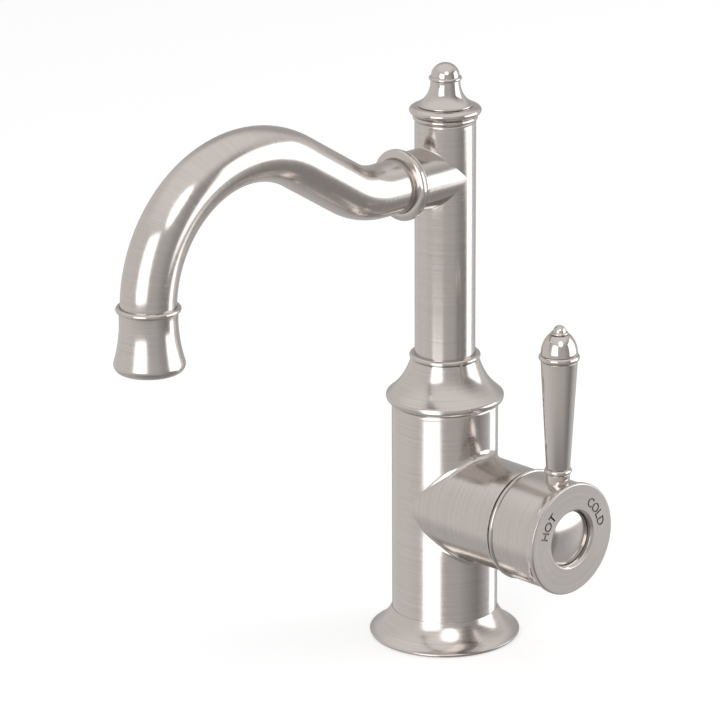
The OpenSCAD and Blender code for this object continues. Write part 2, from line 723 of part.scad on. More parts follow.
// Domed ring in the housing's mouth, over which the hub moves
module dome_trim() color(bright_nickel) on_lever_axis() turned(concat(
    [[thread_r - seat_gap, mouth_x - dome_skirt_len], [thread_r - seat_gap, mouth_x]],
    arc([0, pivot_x], dome_r, asin((mouth_x - pivot_x) / dome_r), acos(dome_hole_r / dome_r)),
    arc([0, pivot_x], dome_r - dome_t, acos((dome_hole_r + 0.3) / (dome_r - dome_t)),
        acos((thread_r - 1.8) / (dome_r - dome_t)), 5),
    [[thread_r - 1.8, mouth_x - dome_skirt_len]]));

// Outside of the hub as a solid of revolution, grown by g
module hub_blank(g) turned(concat(
    [[0, hub_x]], hub_outline(g), [[0, face_x]]));

// Outer profile of the hub: the skirt, the step, the barrel and the flared rim
function hub_outline(g) = concat(
    [[skirt_r - 0.3 + g, hub_x], [skirt_r + g, hub_x + 0.3], [skirt_r + g, hub_x + 1.5],
        [barrel_r + g, hub_x + 1.9]],
    curve([barrel_r + g, face_x - 5.6], [barrel_r + g, face_x - 3.6],
        [rim_r - 0.3 + g, face_x - 2.8], [rim_r + g, face_x - 1.9], 5),
    [[rim_r + g, face_x - edge], [rim_r - edge + g, face_x]]);

// Hub: a hollow skirt round the dome and a solid front with the button's recess
module handle_hub() color(nickel) difference() {
    on_lever_axis() {
        difference() {
            turned(concat(hub_outline(0),
                [[recess_r + 0.9, face_x], [recess_r, face_x - 0.9], [recess_r, recess_x],
                    [0, recess_x]],
                arc([0, pivot_x], hub_cavity_r, 90, asin((hub_x - pivot_x) / hub_cavity_r), 14)));
            translate([-stem_square / 2 - seat_gap, -stem_square / 2 - seat_gap, pivot_x + 20])
                cube([stem_square + 2 * seat_gap, stem_square + 2 * seat_gap,
                    socket_end_x - pivot_x - 20]);
            translate([0, 0, socket_end_x - past]) cylinder(r = screw_r + 0.1, h = recess_depth);
        }
    }
    translate([lever_x, 0, lever_stud_z]) cylinder(r = lever_stud_r + 0.02, h = skirt_r);
}

// Screw that holds the hub on the stem
module hub_screw() color(stainless) on_lever_axis() difference() {
    union() {
        translate([0, 0, recess_x - screw_len]) cylinder(r = screw_r - 0.02, h = screw_len + past);
        turned([[0, recess_x], [screw_head_r, recess_x], [screw_head_r, recess_x + 1.6],
            [screw_head_r - 1.2, recess_x + 2.6], [0, recess_x + 2.6]]);
    }
    translate([0, 0, recess_x + 0.6]) cylinder(d = 3.4, h = 3, $fn = 6);
}

// Domed button that covers the screw
module index_button() color(bright_nickel) on_lever_axis() difference() {
    crown_r = (pow(button_r - 0.2, 2) + pow(button_crown, 2)) / (2 * button_crown);
    turned(concat(
        [[button_r - button_wall, button_x], [button_r, button_x], [button_r, button_edge_x - 0.2]],
        arc([0, button_edge_x + button_crown - crown_r], crown_r,
            acos((button_r - 0.2) / crown_r), 90),
        [[0, button_edge_x - 1.1], [button_r - button_wall - 1, button_edge_x - 1.1],
            [button_r - button_wall, button_edge_x - 2]]));
    ring(recess_r - 2 * button_ring_r, recess_r + past, button_groove_x - button_ring_r - 0.1,
        2 * button_ring_r + 0.2);
}

module button_o_ring() color(black_rubber) on_lever_axis()
    o_ring(recess_r - 0.02, button_groove_x, 2 * button_ring_r - 0.04);

module lever_stud() color(stainless) translate([lever_x, 0, lever_stud_z])
    cylinder(r = lever_stud_r, h = lever_stud_end - lever_stud_z);

// Grip: a neck cut to the hub, a bead, a long taper and a larger bead
module lever_grip() color(nickel) difference() {
    translate([lever_x, 0, 0]) difference() {
        turned(concat(
            [[0, lever_foot_z], [lever_neck_d / 2, lever_foot_z],
                [lever_neck_d / 2, lever_bead_z - lever_bead_h / 2 - 0.1]],
            bead(lever_bead_r, lever_bead_z - lever_bead_h / 2, lever_bead_h, 6),
            [[grip_bottom_d / 2, grip_z + 0.1], [grip_top_d / 2, grip_top_z - 0.05]],
            bead(grip_bead_d / 2, grip_top_z, grip_bead_h),
            [[0, grip_end_z]]));
        translate([0, 0, lever_foot_z - past])
            cylinder(r = lever_stud_r + 0.02, h = lever_stud_end + 0.5 - lever_foot_z + past);
        translate([0, 0, grip_end_z - cap_spigot_len - 0.5])
            cylinder(r = cap_spigot_r + seat_gap, h = cap_spigot_len + 0.5 + past);
    }
    on_lever_axis() hub_blank(0.02);
}

// Cap of the lever: a pointed dome, a small collar and a ball tip
module lever_cap() color(nickel) translate([lever_x, 0, 0]) {
    tip_z = grip_end_z + 0.837 * cap_dome_h;
    translate([0, 0, grip_end_z - cap_spigot_len])
        cylinder(r = cap_spigot_r, h = cap_spigot_len + past);
    turned(concat(
        [[0, grip_end_z]],
        dome(dome_base_r, cap_dome_h, grip_end_z, 56.7),
        bead(tip_r + 0.88, tip_z, 1.1, 6),
        dome(tip_r, tip_r, tip_z + 1.1)));
}

base_flange();
base_seal();
body();
shoulder_collar();
lower_thrust_washer();
upper_thrust_washer();
swivel_spigot();
swivel_o_rings();
column();
column_cap();
cap_o_ring();
finial();
union_ring();
spout_nipple();
nipple_o_ring();
spout_tube();
outlet_bell();
aerator_washer();
aerator_housing();
aerator_insert();
aerator_mesh();
cartridge_housing();
port_seals();
fixed_disc();
moving_disc();
disc_carrier();
turret();
stem_pin();
stem();
cartridge_nut();
dome_trim();
handle_hub();
hub_screw();
index_button();
button_o_ring();
lever_stud();
lever_grip();
lever_cap();
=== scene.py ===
import bmesh
import bpy
import json
import math
import numpy as np
from mathutils import Matrix, Vector


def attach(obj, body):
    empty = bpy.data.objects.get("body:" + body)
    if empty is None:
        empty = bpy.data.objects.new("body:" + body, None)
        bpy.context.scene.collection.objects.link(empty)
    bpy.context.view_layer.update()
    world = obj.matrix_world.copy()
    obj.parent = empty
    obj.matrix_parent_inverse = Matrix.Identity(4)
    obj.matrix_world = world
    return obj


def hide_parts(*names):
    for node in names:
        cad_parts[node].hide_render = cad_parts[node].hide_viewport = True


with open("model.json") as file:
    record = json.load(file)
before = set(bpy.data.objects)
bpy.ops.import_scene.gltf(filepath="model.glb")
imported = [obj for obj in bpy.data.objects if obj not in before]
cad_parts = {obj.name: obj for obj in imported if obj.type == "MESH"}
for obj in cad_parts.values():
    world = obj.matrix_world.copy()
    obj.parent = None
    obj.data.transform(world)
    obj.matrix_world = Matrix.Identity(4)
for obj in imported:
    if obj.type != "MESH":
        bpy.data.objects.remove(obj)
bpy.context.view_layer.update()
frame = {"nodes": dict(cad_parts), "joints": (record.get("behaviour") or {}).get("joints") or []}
nodes = frame["nodes"]
mm = 0.001
print("frame loaded:", len(nodes), "nodes")

# Places that several pieces share, in mm; the lever's pivot is that of the frame's joint
pivot = next(joint["pos_m"] for joint in frame["joints"] if joint["name"] == "flow_tilt")
shared = {
    "pivotX": round(pivot[0] / mm, 3), "leverZ": round(pivot[2] / mm, 3), "leverX": 64.7,
    "mouthX": 46.4, "bodyTop": 103.1, "columnR": 12.5, "columnTop": 223.1, "capTop": 229.1,
    "spoutZ": 200.6, "branchLen": 23.2, "reach": 161.0, "tubeEnd": 177.53,
}

# Profiles
# A profile is a list of [radius, height] in mm, carried round an axis or along a path.


# centre + (a cos t, b sin t), with t running evenly between two angles in degrees
def ovalPoints(centre, a, b, start, end, count=16):
    t = np.radians(np.linspace(start, end, count + 1))
    return np.array(centre) + np.stack([a * np.cos(t), b * np.sin(t)], 1)


def arcPoints(centre, r, start, end, count=16):
    return ovalPoints(centre, r, r, start, end, count)


# Cubic curve: u^3 p + 3 u^2 t q + 3 u t^2 r + t^3 s, with u = 1 - t
def cubicPoints(p, q, r, s, count=24):
    t = np.linspace(0, 1, count + 1)[:, None]
    u = 1 - t
    p, q, r, s = (np.array(point, float) for point in (p, q, r, s))
    return u**3 * p + 3 * u * u * t * q + 3 * u * t * t * r + t**3 * s


# Half-round bead of height h whose outermost radius is r
def beadPoints(r, z, h, count=14):
    return arcPoints((r - h / 2, z + h / 2), h / 2, -90, 90, count)


# Each corner is cut back on both sides, by cut or a share of the shorter side, and
# bridged by the parabola (1 - t)^2 a + 2 t (1 - t) corner + t^2 b, which catches the light
def eased(points, cut=0.22, closed=True, steps=4, share=0.42):
    p = np.vstack([np.atleast_2d(np.asarray(q, float)) for q in points])
    keep = np.r_[True, np.linalg.norm(np.diff(p, axis=0), axis=1) > 1e-4]
    p = p[keep]
    if closed and np.linalg.norm(p[0] - p[-1]) < 1e-4:
        p = p[:-1]
    before, after = np.roll(p, 1, 0) - p, np.roll(p, -1, 0) - p
    lb, la = np.linalg.norm(before, axis=1), np.linalg.norm(after, axis=1)
    back = np.minimum(cut, share * np.minimum(lb, la))[:, None]
    if not closed:
        back[[0, -1]] = 0
    a, b = p + before / lb[:, None] * back, p + after / la[:, None] * back
    t = np.linspace(0, 1, steps + 1)[None, :, None]
    out = (1 - t) ** 2 * a[:, None] + 2 * t * (1 - t) * p[:, None] + t**2 * b[:, None]
    out = out.reshape(-1, 2)
    if not closed:
        out = out[steps:-steps]
    keep = np.r_[True, np.linalg.norm(np.diff(out, axis=0), axis=1) > 1e-5]
    return out[keep]


# Surfaces
# A sheet is a grid of points with the numbers that its material needs at each face
# corner: uv (along the profile, round it), brush (cos, sin, length) and polish.


# Grid of quads over points[i, j]; columns close on themselves, rows may
def gridSheet(points, along, angles, spread, polish=0.0, closedRows=False, closedCols=True):
    n, m = points.shape[:2]
    rows = np.arange(n if closedRows else n - 1)[:, None, None]
    cols = np.arange(m if closedCols else m - 1)[None, :, None]
    i = rows + np.array([0, 0, 1, 1])
    j = cols + np.array([0, 1, 1, 0])
    quads = ((i % n) * m + j % m).reshape(-1, 4)
    lengths = along if np.ndim(along) == 2 else np.repeat(along[:, None], m, 1)
    lengths = np.broadcast_to(lengths, (n, m))
    step = lengths[-1] - lengths[-2] if closedRows else 0
    lengths = np.vstack([lengths, lengths[-1:] + step])
    turns = np.append(angles, angles[0] + 2 * np.pi)
    i, j = np.broadcast_arrays(i, j)
    v = lengths[i, j % m]
    t = turns[j]
    shine = np.broadcast_to(polish, n) if np.ndim(polish) else np.full(n, polish)
    shine = np.append(shine, shine[0])[i]
    return {
        "verts": points.reshape(-1, 3),
        "quads": quads,
        "uv": np.stack([v, t * spread], -1).reshape(-1, 2),
        "brush": np.stack([np.cos(t) * spread, np.sin(t) * spread, v], -1).reshape(-1, 3),
        "polish": shine.reshape(-1),
    }


xWay, yWay, zWay = np.eye(3)


# Axis frames: origin in mm, then the directions of angle 0, angle 90 and height
def upAxis(x=0.0, y=0.0):
    return np.array([x, y, 0.0]), xWay, yWay, zWay


def leverAxis(z):
    return np.array([0, 0, z]), yWay, zWay, xWay


def spoutAxis(z):
    return np.array([0, 0, z]), zWay, xWay, -yWay


# Solid of revolution: origin + r cos(t) e1 + r sin(t) e2 + h e3
def turnedSheet(profile, axis, segments=192, closed=True, polish=0.0):
    origin, e1, e2, e3 = axis
    r, h = profile[:, 0], profile[:, 1]
    t = np.linspace(0, 2 * np.pi, segments, endpoint=False)
    ring = np.cos(t)[:, None] * e1 + np.sin(t)[:, None] * e2
    points = origin + r[:, None, None] * ring[None] + (h[:, None] * e3)[:, None]
    along = np.r_[0, np.cumsum(np.linalg.norm(np.diff(profile, axis=0), axis=1))]
    if callable(polish):
        polish = polish(h)
    return gridSheet(points * mm, along * mm, t, max(r.max(), 1) * mm, polish, closed)


# Polish that rises from 0 to most over a short stretch of height above start
def polishAbove(start, stretch, most):
    return lambda h: np.clip((h - start) / stretch, 0, 1) * most


# New object, linked into the scene
def newObject(name, data):
    obj = bpy.data.objects.new(name, data)
    bpy.context.scene.collection.objects.link(obj)
    return obj


# Builds one mesh from sheets, closes poles and seams, and turns the faces outwards
def makePiece(name, sheets, material, body, replaced=(), thickness=0.0):
    offsets = np.cumsum([0] + [len(s["verts"]) for s in sheets])[:-1]
    verts = np.vstack([s["verts"] for s in sheets])
    quads = np.vstack([s["quads"] + o for s, o in zip(sheets, offsets)])
    mesh = bpy.data.meshes.new(name)
    mesh.vertices.add(len(verts))
    mesh.vertices.foreach_set("co", verts.ravel())
    mesh.loops.add(quads.size)
    mesh.loops.foreach_set("vertex_index", quads.ravel())
    mesh.polygons.add(len(quads))
    mesh.polygons.foreach_set("loop_start", np.arange(0, quads.size, 4))
    mesh.update(calc_edges=True)
    mesh.uv_layers.new(name="UVMap").uv.foreach_set(
        "vector", np.vstack([s["uv"] for s in sheets]).ravel())
    mesh.attributes.new("brush", "FLOAT_VECTOR", "CORNER").data.foreach_set(
        "vector", np.vstack([s["brush"] for s in sheets]).ravel())
    mesh.attributes.new("polish", "FLOAT", "CORNER").data.foreach_set(
        "value", np.concatenate([s["polish"] for s in sheets]))
    tidy = bmesh.new()
    tidy.from_mesh(mesh)
    bmesh.ops.remove_doubles(tidy, verts=tidy.verts, dist=2e-6)
    bmesh.ops.dissolve_degenerate(tidy, edges=tidy.edges, dist=1e-7)
    bmesh.ops.recalc_face_normals(tidy, faces=tidy.faces)
    tidy.to_mesh(mesh)
    tidy.free()
    mesh.polygons.foreach_set("use_smooth", np.ones(len(mesh.polygons), bool))
    piece = newObject(name, mesh)
    mesh.materials.append(material)
    if thickness:
        wall = piece.modifiers.new("wall", "SOLIDIFY")
        wall.thickness = thickness * mm
        wall.offset = -1
    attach(piece, body)
    if replaced:
        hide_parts(*replaced)
    print("piece", name, len(mesh.polygons), "faces")
    return piece


# Materials


def newGroup(name, inputs, outputs):
    group = bpy.data.node_groups.new(name, "ShaderNodeTree")
    for label, kind, default in inputs:
        socket = group.interface.new_socket(label, in_out="INPUT", socket_type=kind)
        if default is not None:
            socket.default_value = default
    for label, kind in outputs:
        group.interface.new_socket(label, in_out="OUTPUT", socket_type=kind)
    return group, group.nodes.new("NodeGroupInput"), group.nodes.new("NodeGroupOutput")


def addNode(tree, kind, **settings):
    node = tree.nodes.new("ShaderNode" + kind)
    for key, value in settings.items():
        setattr(node, key, value)
    return node


def wire(tree, *pairs):
    for source, target in pairs:
        tree.links.new(source, target)


# Math node; a and b are numbers or sockets
def mathNode(tree, operation, a, b):
    node = addNode(tree, "Math", operation=operation)
    for socket, value in zip(node.inputs, (a, b)):
        if hasattr(value, "is_output"):
            tree.links.new(value, socket)
        else:
            socket.default_value = value
    return node.outputs[0]


def noiseNode(tree, detail):
    noise = addNode(tree, "TexNoise")
    noise.inputs["Scale"].default_value = 1.0
    noise.inputs["Detail"].default_value = detail
    return noise


def bumpNode(tree, strength, distance):
    bump = addNode(tree, "Bump")
    bump.inputs["Strength"].default_value = strength
    bump.inputs["Distance"].default_value = distance
    return bump


# Mix of two colours
def toneNode(tree, first, second, **settings):
    tone = addNode(tree, "Mix", data_type="RGBA", **settings)
    tone.inputs[6].default_value = (*first, 1)
    tone.inputs[7].default_value = (*second, 1)
    return tone


lineScales = {"fine": (24, 24, 2700), "broad": (9, 9, 420)}


# Fine lines of the brushing: noise that is long round the piece and short along it
def buildBrushLines(scales):
    group, inn, out = newGroup("brushLines",
        [("Vector", "NodeSocketVector", None), ("Fineness", "NodeSocketFloat", 1.0)],
        [("Lines", "NodeSocketFloat"), ("Bands", "NodeSocketFloat")])
    stretch = addNode(group, "VectorMath", operation="MULTIPLY")
    stretch.inputs[1].default_value = scales["fine"]
    scaled = addNode(group, "VectorMath", operation="SCALE")
    fine = noiseNode(group, detail=3.0)
    broad = addNode(group, "VectorMath", operation="MULTIPLY")
    broad.inputs[1].default_value = scales["broad"]
    bands = noiseNode(group, detail=2.0)
    wire(group,
        (inn.outputs["Vector"], stretch.inputs[0]), (stretch.outputs[0], scaled.inputs[0]),
        (inn.outputs["Fineness"], scaled.inputs["Scale"]), (scaled.outputs[0], fine.inputs["Vector"]),
        (inn.outputs["Vector"], broad.inputs[0]), (broad.outputs[0], bands.inputs["Vector"]),
        (fine.outputs["Fac"], out.inputs["Lines"]), (bands.outputs["Fac"], out.inputs["Bands"]))
    return group


# Soft uneven patches, as handling and casting leave them
def buildHandling():
    group, inn, out = newGroup("handling",
        [("Vector", "NodeSocketVector", None), ("Scale", "NodeSocketFloat", 40.0),
         ("Low", "NodeSocketFloat", 0.0), ("High", "NodeSocketFloat", 1.0)],
        [("Value", "NodeSocketFloat")])
    noise = noiseNode(group, detail=4.0)
    spread = addNode(group, "MapRange")
    spread.inputs["From Min"].default_value = 0.3
    spread.inputs["From Max"].default_value = 0.7
    wire(group,
        (inn.outputs["Vector"], noise.inputs["Vector"]), (inn.outputs["Scale"], noise.inputs["Scale"]),
        (noise.outputs["Fac"], spread.inputs["Value"]), (inn.outputs["Low"], spread.inputs["To Min"]),
        (inn.outputs["High"], spread.inputs["To Max"]), (spread.outputs["Result"], out.inputs["Value"]))
    return group


brushLines = buildBrushLines(lineScales)
handling = buildHandling()


def useGroup(tree, group, **values):
    node = addNode(tree, "Group", node_tree=group)
    for key, value in values.items():
        node.inputs[key.capitalize()].default_value = value
    return node


def startMaterial(name):
    material = bpy.data.materials.new(name)
    material.use_nodes = True
    tree = material.node_tree
    return material, tree, tree.nodes["Principled BSDF"]


# Brushed nickel: warm grey metal, lines across the profile, smoother where polished
def brushedMetal(name, look):
    material, tree, shader = startMaterial(name)
    brush = addNode(tree, "Attribute", attribute_name="brush")
    place = addNode(tree, "TexCoord")
    polish = addNode(tree, "Attribute", attribute_name="polish")
    lines = useGroup(tree, brushLines, fineness=look["fineness"])
    smudge = useGroup(tree, handling, scale=look["smudgeScale"], low=-1.0, high=1.0)
    wire(tree, (brush.outputs["Vector"], lines.inputs["Vector"]),
        (place.outputs["Object"], smudge.inputs["Vector"]))
    matt = mathNode(tree, "SUBTRACT", 1.0, polish.outputs["Fac"])
    lineMix = mathNode(tree, "SUBTRACT", lines.outputs["Lines"], 0.5)
    bandMix = mathNode(tree, "SUBTRACT", lines.outputs["Bands"], 0.5)
    shade = mathNode(tree, "ADD", mathNode(tree, "MULTIPLY", lineMix, look["lineTone"]),
        mathNode(tree, "MULTIPLY", bandMix, look["bandTone"]))
    shade = mathNode(tree, "MULTIPLY", shade, matt)
    tone = toneNode(tree, look["dark"], look["light"], clamp_factor=True)
    wire(tree, (mathNode(tree, "ADD", shade, 0.5), tone.inputs[0]),
        (tone.outputs[2], shader.inputs["Base Color"]))
    rough = mathNode(tree, "MULTIPLY", matt, look["rough"] - look["polished"])
    rough = mathNode(tree, "ADD", rough, look["polished"])
    handled = mathNode(tree, "MULTIPLY", smudge.outputs["Value"], look["smudge"])
    scored = mathNode(tree, "MULTIPLY", mathNode(tree, "MULTIPLY", lineMix, matt), look["lineRough"])
    rough = mathNode(tree, "ADD", mathNode(tree, "ADD", rough, handled), scored)
    bump = bumpNode(tree, look["bump"], distance=0.00003)
    tangent = addNode(tree, "Tangent", direction_type="UV_MAP", uv_map="UVMap")
    wire(tree, (rough, shader.inputs["Roughness"]),
        (mathNode(tree, "MULTIPLY", lines.outputs["Lines"], matt), bump.inputs["Height"]),
        (bump.outputs["Normal"], shader.inputs["Normal"]),
        (tangent.outputs["Tangent"], shader.inputs["Tangent"]))
    shader.inputs["Metallic"].default_value = 1.0
    shader.inputs["Anisotropic"].default_value = look["anisotropy"]
    shader.inputs["Anisotropic Rotation"].default_value = 0.25  # a quarter turn: across the lines
    return material


nickelLook = {
    "dark": (0.54, 0.5, 0.474), "light": (0.67, 0.627, 0.6),
    "rough": 0.18, "polished": 0.1, "anisotropy": 0.6, "fineness": 1.0,
    "lineTone": 1.0, "bandTone": 0.14, "lineRough": 0.1,
    "smudge": 0.012, "smudgeScale": 45.0, "bump": 0.12,
}
satinNickel = brushedMetal("satinNickel", nickelLook)
# Dark nickel for the engraved letters: painted shade in the letters' recesses
paintedLetterShade = brushedMetal("paintedLetterShade", {**nickelLook,
    "dark": (0.15, 0.135, 0.125), "light": (0.2, 0.18, 0.17), "rough": 0.4})
# Near-black nickel for the trim ring: painted shade in the gap between body and hub
gapShadeNickel = brushedMetal("gapShadeNickel", {**nickelLook,
    "dark": (0.085, 0.078, 0.073), "light": (0.12, 0.11, 0.103), "rough": 0.3, "lineTone": 0.3})
brightNickel = brushedMetal("brightNickel", {**nickelLook,
    "dark": (0.50, 0.47, 0.45), "light": (0.60, 0.57, 0.55), "rough": 0.15, "polished": 0.15,
    "anisotropy": 0.0, "lineTone": 0.1, "bandTone": 0.1, "smudge": 0.01, "bump": 0.02})


# Plain metal, ceramic, plastic and rubber of the inner parts: two tones in soft
# patches, with grain in the roughness and a little in the surface
def plainFinish(name, look):
    material, tree, shader = startMaterial(name)
    place = addNode(tree, "TexCoord")
    patches = useGroup(tree, handling, scale=look["patchScale"], low=0.0, high=1.0)
    grain = useGroup(tree, handling, scale=look["grainScale"], low=0.0, high=1.0)
    tone = toneNode(tree, look["dark"], look["light"])
    bump = bumpNode(tree, look["bump"], distance=0.00005)
    uneven = mathNode(tree, "MULTIPLY", grain.outputs["Value"], look["roughSpread"])
    wire(tree,
        (place.outputs["Object"], patches.inputs["Vector"]),
        (place.outputs["Object"], grain.inputs["Vector"]),
        (patches.outputs["Value"], tone.inputs[0]),
        (tone.outputs[2], shader.inputs["Base Color"]),
        (grain.outputs["Value"], bump.inputs["Height"]),
        (bump.outputs["Normal"], shader.inputs["Normal"]),
        (mathNode(tree, "ADD", look["rough"], uneven), shader.inputs["Roughness"]))
    shader.inputs["Metallic"].default_value = look.get("metallic", 0.0)
    return material


innerFinishes = {
    "castNickel": {"dark": (0.37, 0.34, 0.32), "light": (0.52, 0.48, 0.45), "metallic": 1.0,
        "rough": 0.34, "roughSpread": 0.1, "patchScale": 60, "grainScale": 900, "bump": 0.15},
    "turnedBrass": {"dark": (0.56, 0.38, 0.14), "light": (0.72, 0.52, 0.22), "metallic": 1.0,
        "rough": 0.22, "roughSpread": 0.12, "patchScale": 80, "grainScale": 1400, "bump": 0.1},
    "stainlessSteel": {"dark": (0.50, 0.50, 0.51), "light": (0.63, 0.63, 0.64), "metallic": 1.0,
        "rough": 0.2, "roughSpread": 0.1, "patchScale": 90, "grainScale": 1600, "bump": 0.1},
    "whiteAcetal": {"dark": (0.78, 0.78, 0.76), "light": (0.86, 0.86, 0.84),
        "rough": 0.38, "roughSpread": 0.1, "patchScale": 70, "grainScale": 1800, "bump": 0.12},
    "greyAcetal": {"dark": (0.22, 0.225, 0.235), "light": (0.30, 0.305, 0.32),
        "rough": 0.4, "roughSpread": 0.1, "patchScale": 70, "grainScale": 1800, "bump": 0.12},
    "denseCeramic": {"dark": (0.84, 0.83, 0.80), "light": (0.90, 0.89, 0.86),
        "rough": 0.12, "roughSpread": 0.06, "patchScale": 50, "grainScale": 2000, "bump": 0.05},
    "sealRubber": {"dark": (0.014, 0.014, 0.014), "light": (0.03, 0.03, 0.031),
        "rough": 0.55, "roughSpread": 0.15, "patchScale": 110, "grainScale": 2400, "bump": 0.3},
}
inner = {name: plainFinish(name, look) for name, look in innerFinishes.items()}
finishOf = {
    "castNickel": ["body", "column", "aerator_housing"],
    "turnedBrass": ["swivel_spigot", "spout_nipple", "stem", "cartridge_nut"],
    "stainlessSteel": ["stem_pin", "hub_screw", "lever_stud"],
    "whiteAcetal": ["lower_thrust_washer", "upper_thrust_washer", "cartridge_housing", "turret"],
    "greyAcetal": ["aerator_insert", "disc_carrier"],
    "denseCeramic": ["fixed_disc", "moving_disc"],
    "sealRubber": ["base_seal", "swivel_o_rings", "cap_o_ring", "nipple_o_ring",
        "aerator_washer", "port_seals", "button_o_ring"],
}


# hole: near-black painted shade in the openings of the mesh
wireLook = {"pitch": 0.0007, "strand": (0.6, 0.6, 0.61), "hole": (0.03, 0.03, 0.03), "open": 0.62,
    "rough": 0.3, "bump": 0.8}


# Woven wire of the aerator: the larger of |sin x| and |sin y| on Object coordinates is the
# strand's height, and below "open" it is a hole, painted near black as the shade seen through it
def wireMesh(name, look):
    material, tree, shader = startMaterial(name)
    place = addNode(tree, "TexCoord")
    split = addNode(tree, "SeparateXYZ")
    wire(tree, (place.outputs["Object"], split.inputs[0]))
    strands = []
    for axis in ("X", "Y"):
        turns = mathNode(tree, "MULTIPLY", split.outputs[axis], 2 * math.pi / look["pitch"])
        wave = mathNode(tree, "SINE", turns, 0.0)
        strands.append(mathNode(tree, "ABSOLUTE", wave, 0.0))
    height = mathNode(tree, "MAXIMUM", *strands)
    hole = mathNode(tree, "GREATER_THAN", look["open"], height)
    tone = toneNode(tree, look["strand"], look["hole"])
    bump = bumpNode(tree, look["bump"], distance=0.0002)
    wire(tree, (hole, tone.inputs[0]), (tone.outputs[2], shader.inputs["Base Color"]),
        (height, bump.inputs["Height"]), (bump.outputs["Normal"], shader.inputs["Normal"]),
        (mathNode(tree, "SUBTRACT", 1.0, hole), shader.inputs["Metallic"]))
    shader.inputs["Roughness"].default_value = look["rough"]
    return material


inner["wireMesh"] = wireMesh("wireMesh", wireLook)
finishOf["wireMesh"] = ["aerator_mesh"]
for finish, names in finishOf.items():
    for node in names:
        for slot in nodes[node].material_slots:
            slot.material = inner[finish]
print("materials ready")

# Flange and collar
flange = {"d": 63.2, "h": 11.7, "edge": 1.5, "bore": 22.12, "segments": 256}


# Flange: a low rim, then a hollow face that is one cubic curve up to the body
def buildFlange(f):
    r, bore, h, edge = f["d"] / 2, f["bore"], f["h"], f["edge"]
    width = r - bore
    face = cubicPoints([r - 0.3, edge], [r - 0.4 * width, edge + 0.9],
        [bore + 0.165 * width, 0.684 * h], [bore + 0.12, h], 44)
    rim = [[bore, 0], [r - 0.6, 0], [r - 0.15, 0.4 * edge], [r, 0.8 * edge]]
    profile = eased([*rim, face, [bore, h]], 0.25)
    makePiece("baseFlange", [turnedSheet(profile, upAxis(), f["segments"])], satinNickel,
        "body", ["base_flange"])


buildFlange(flange)

collar = {"lipD": 49, "lipW": 1.46, "lipH": 2.27, "lipTop": 1.41, "bodyTop": shared["bodyTop"],
    "h": 20.7, "neckR": 15.65, "neckH": 8.45, "columnR": shared["columnR"], "shelf": 115.4,
    "boreR": 14.5, "beadH": 2.27, "segments": 208}


# Collar: a lip of two quarter ovals, a bell that is one cubic curve, and a polished bead
def buildCollar(c):
    z, top, r, run = c["bodyTop"], c["bodyTop"] + c["h"], c["lipD"] / 2, c["columnR"] + 0.06
    neck, centre = z + c["neckH"], (r - c["lipW"], z + c["lipH"])
    lip = [ovalPoints(centre, c["lipW"], c["lipH"], -90, 0, 16),
        ovalPoints(centre, c["lipW"], c["lipTop"], 6, 42, 9)]
    bell = cubicPoints([r - 0.54, z + 3.4], [r - 3.23, z + 5.55],
        [c["columnR"] + 4.21, top - 11.2], [c["columnR"] + 1.6, top - c["beadH"]], 44)
    bead = beadPoints(c["columnR"] + 2.26, top - c["beadH"] + 0.05, c["beadH"] - 0.05)
    inside = [[run, top], [run, c["shelf"]], [c["boreR"], c["shelf"]], [c["boreR"], neck],
        [c["neckR"], neck]]
    profile = eased([[c["neckR"], z], *lip, bell, bead, *inside], 0.2)
    sheet = turnedSheet(profile, upAxis(), c["segments"], polish=polishAbove(top - 3.1, 0.6, 0.8))
    makePiece("shoulderCollar", [sheet], satinNickel, "body", ["shoulder_collar"])


buildCollar(collar)

# Body and column


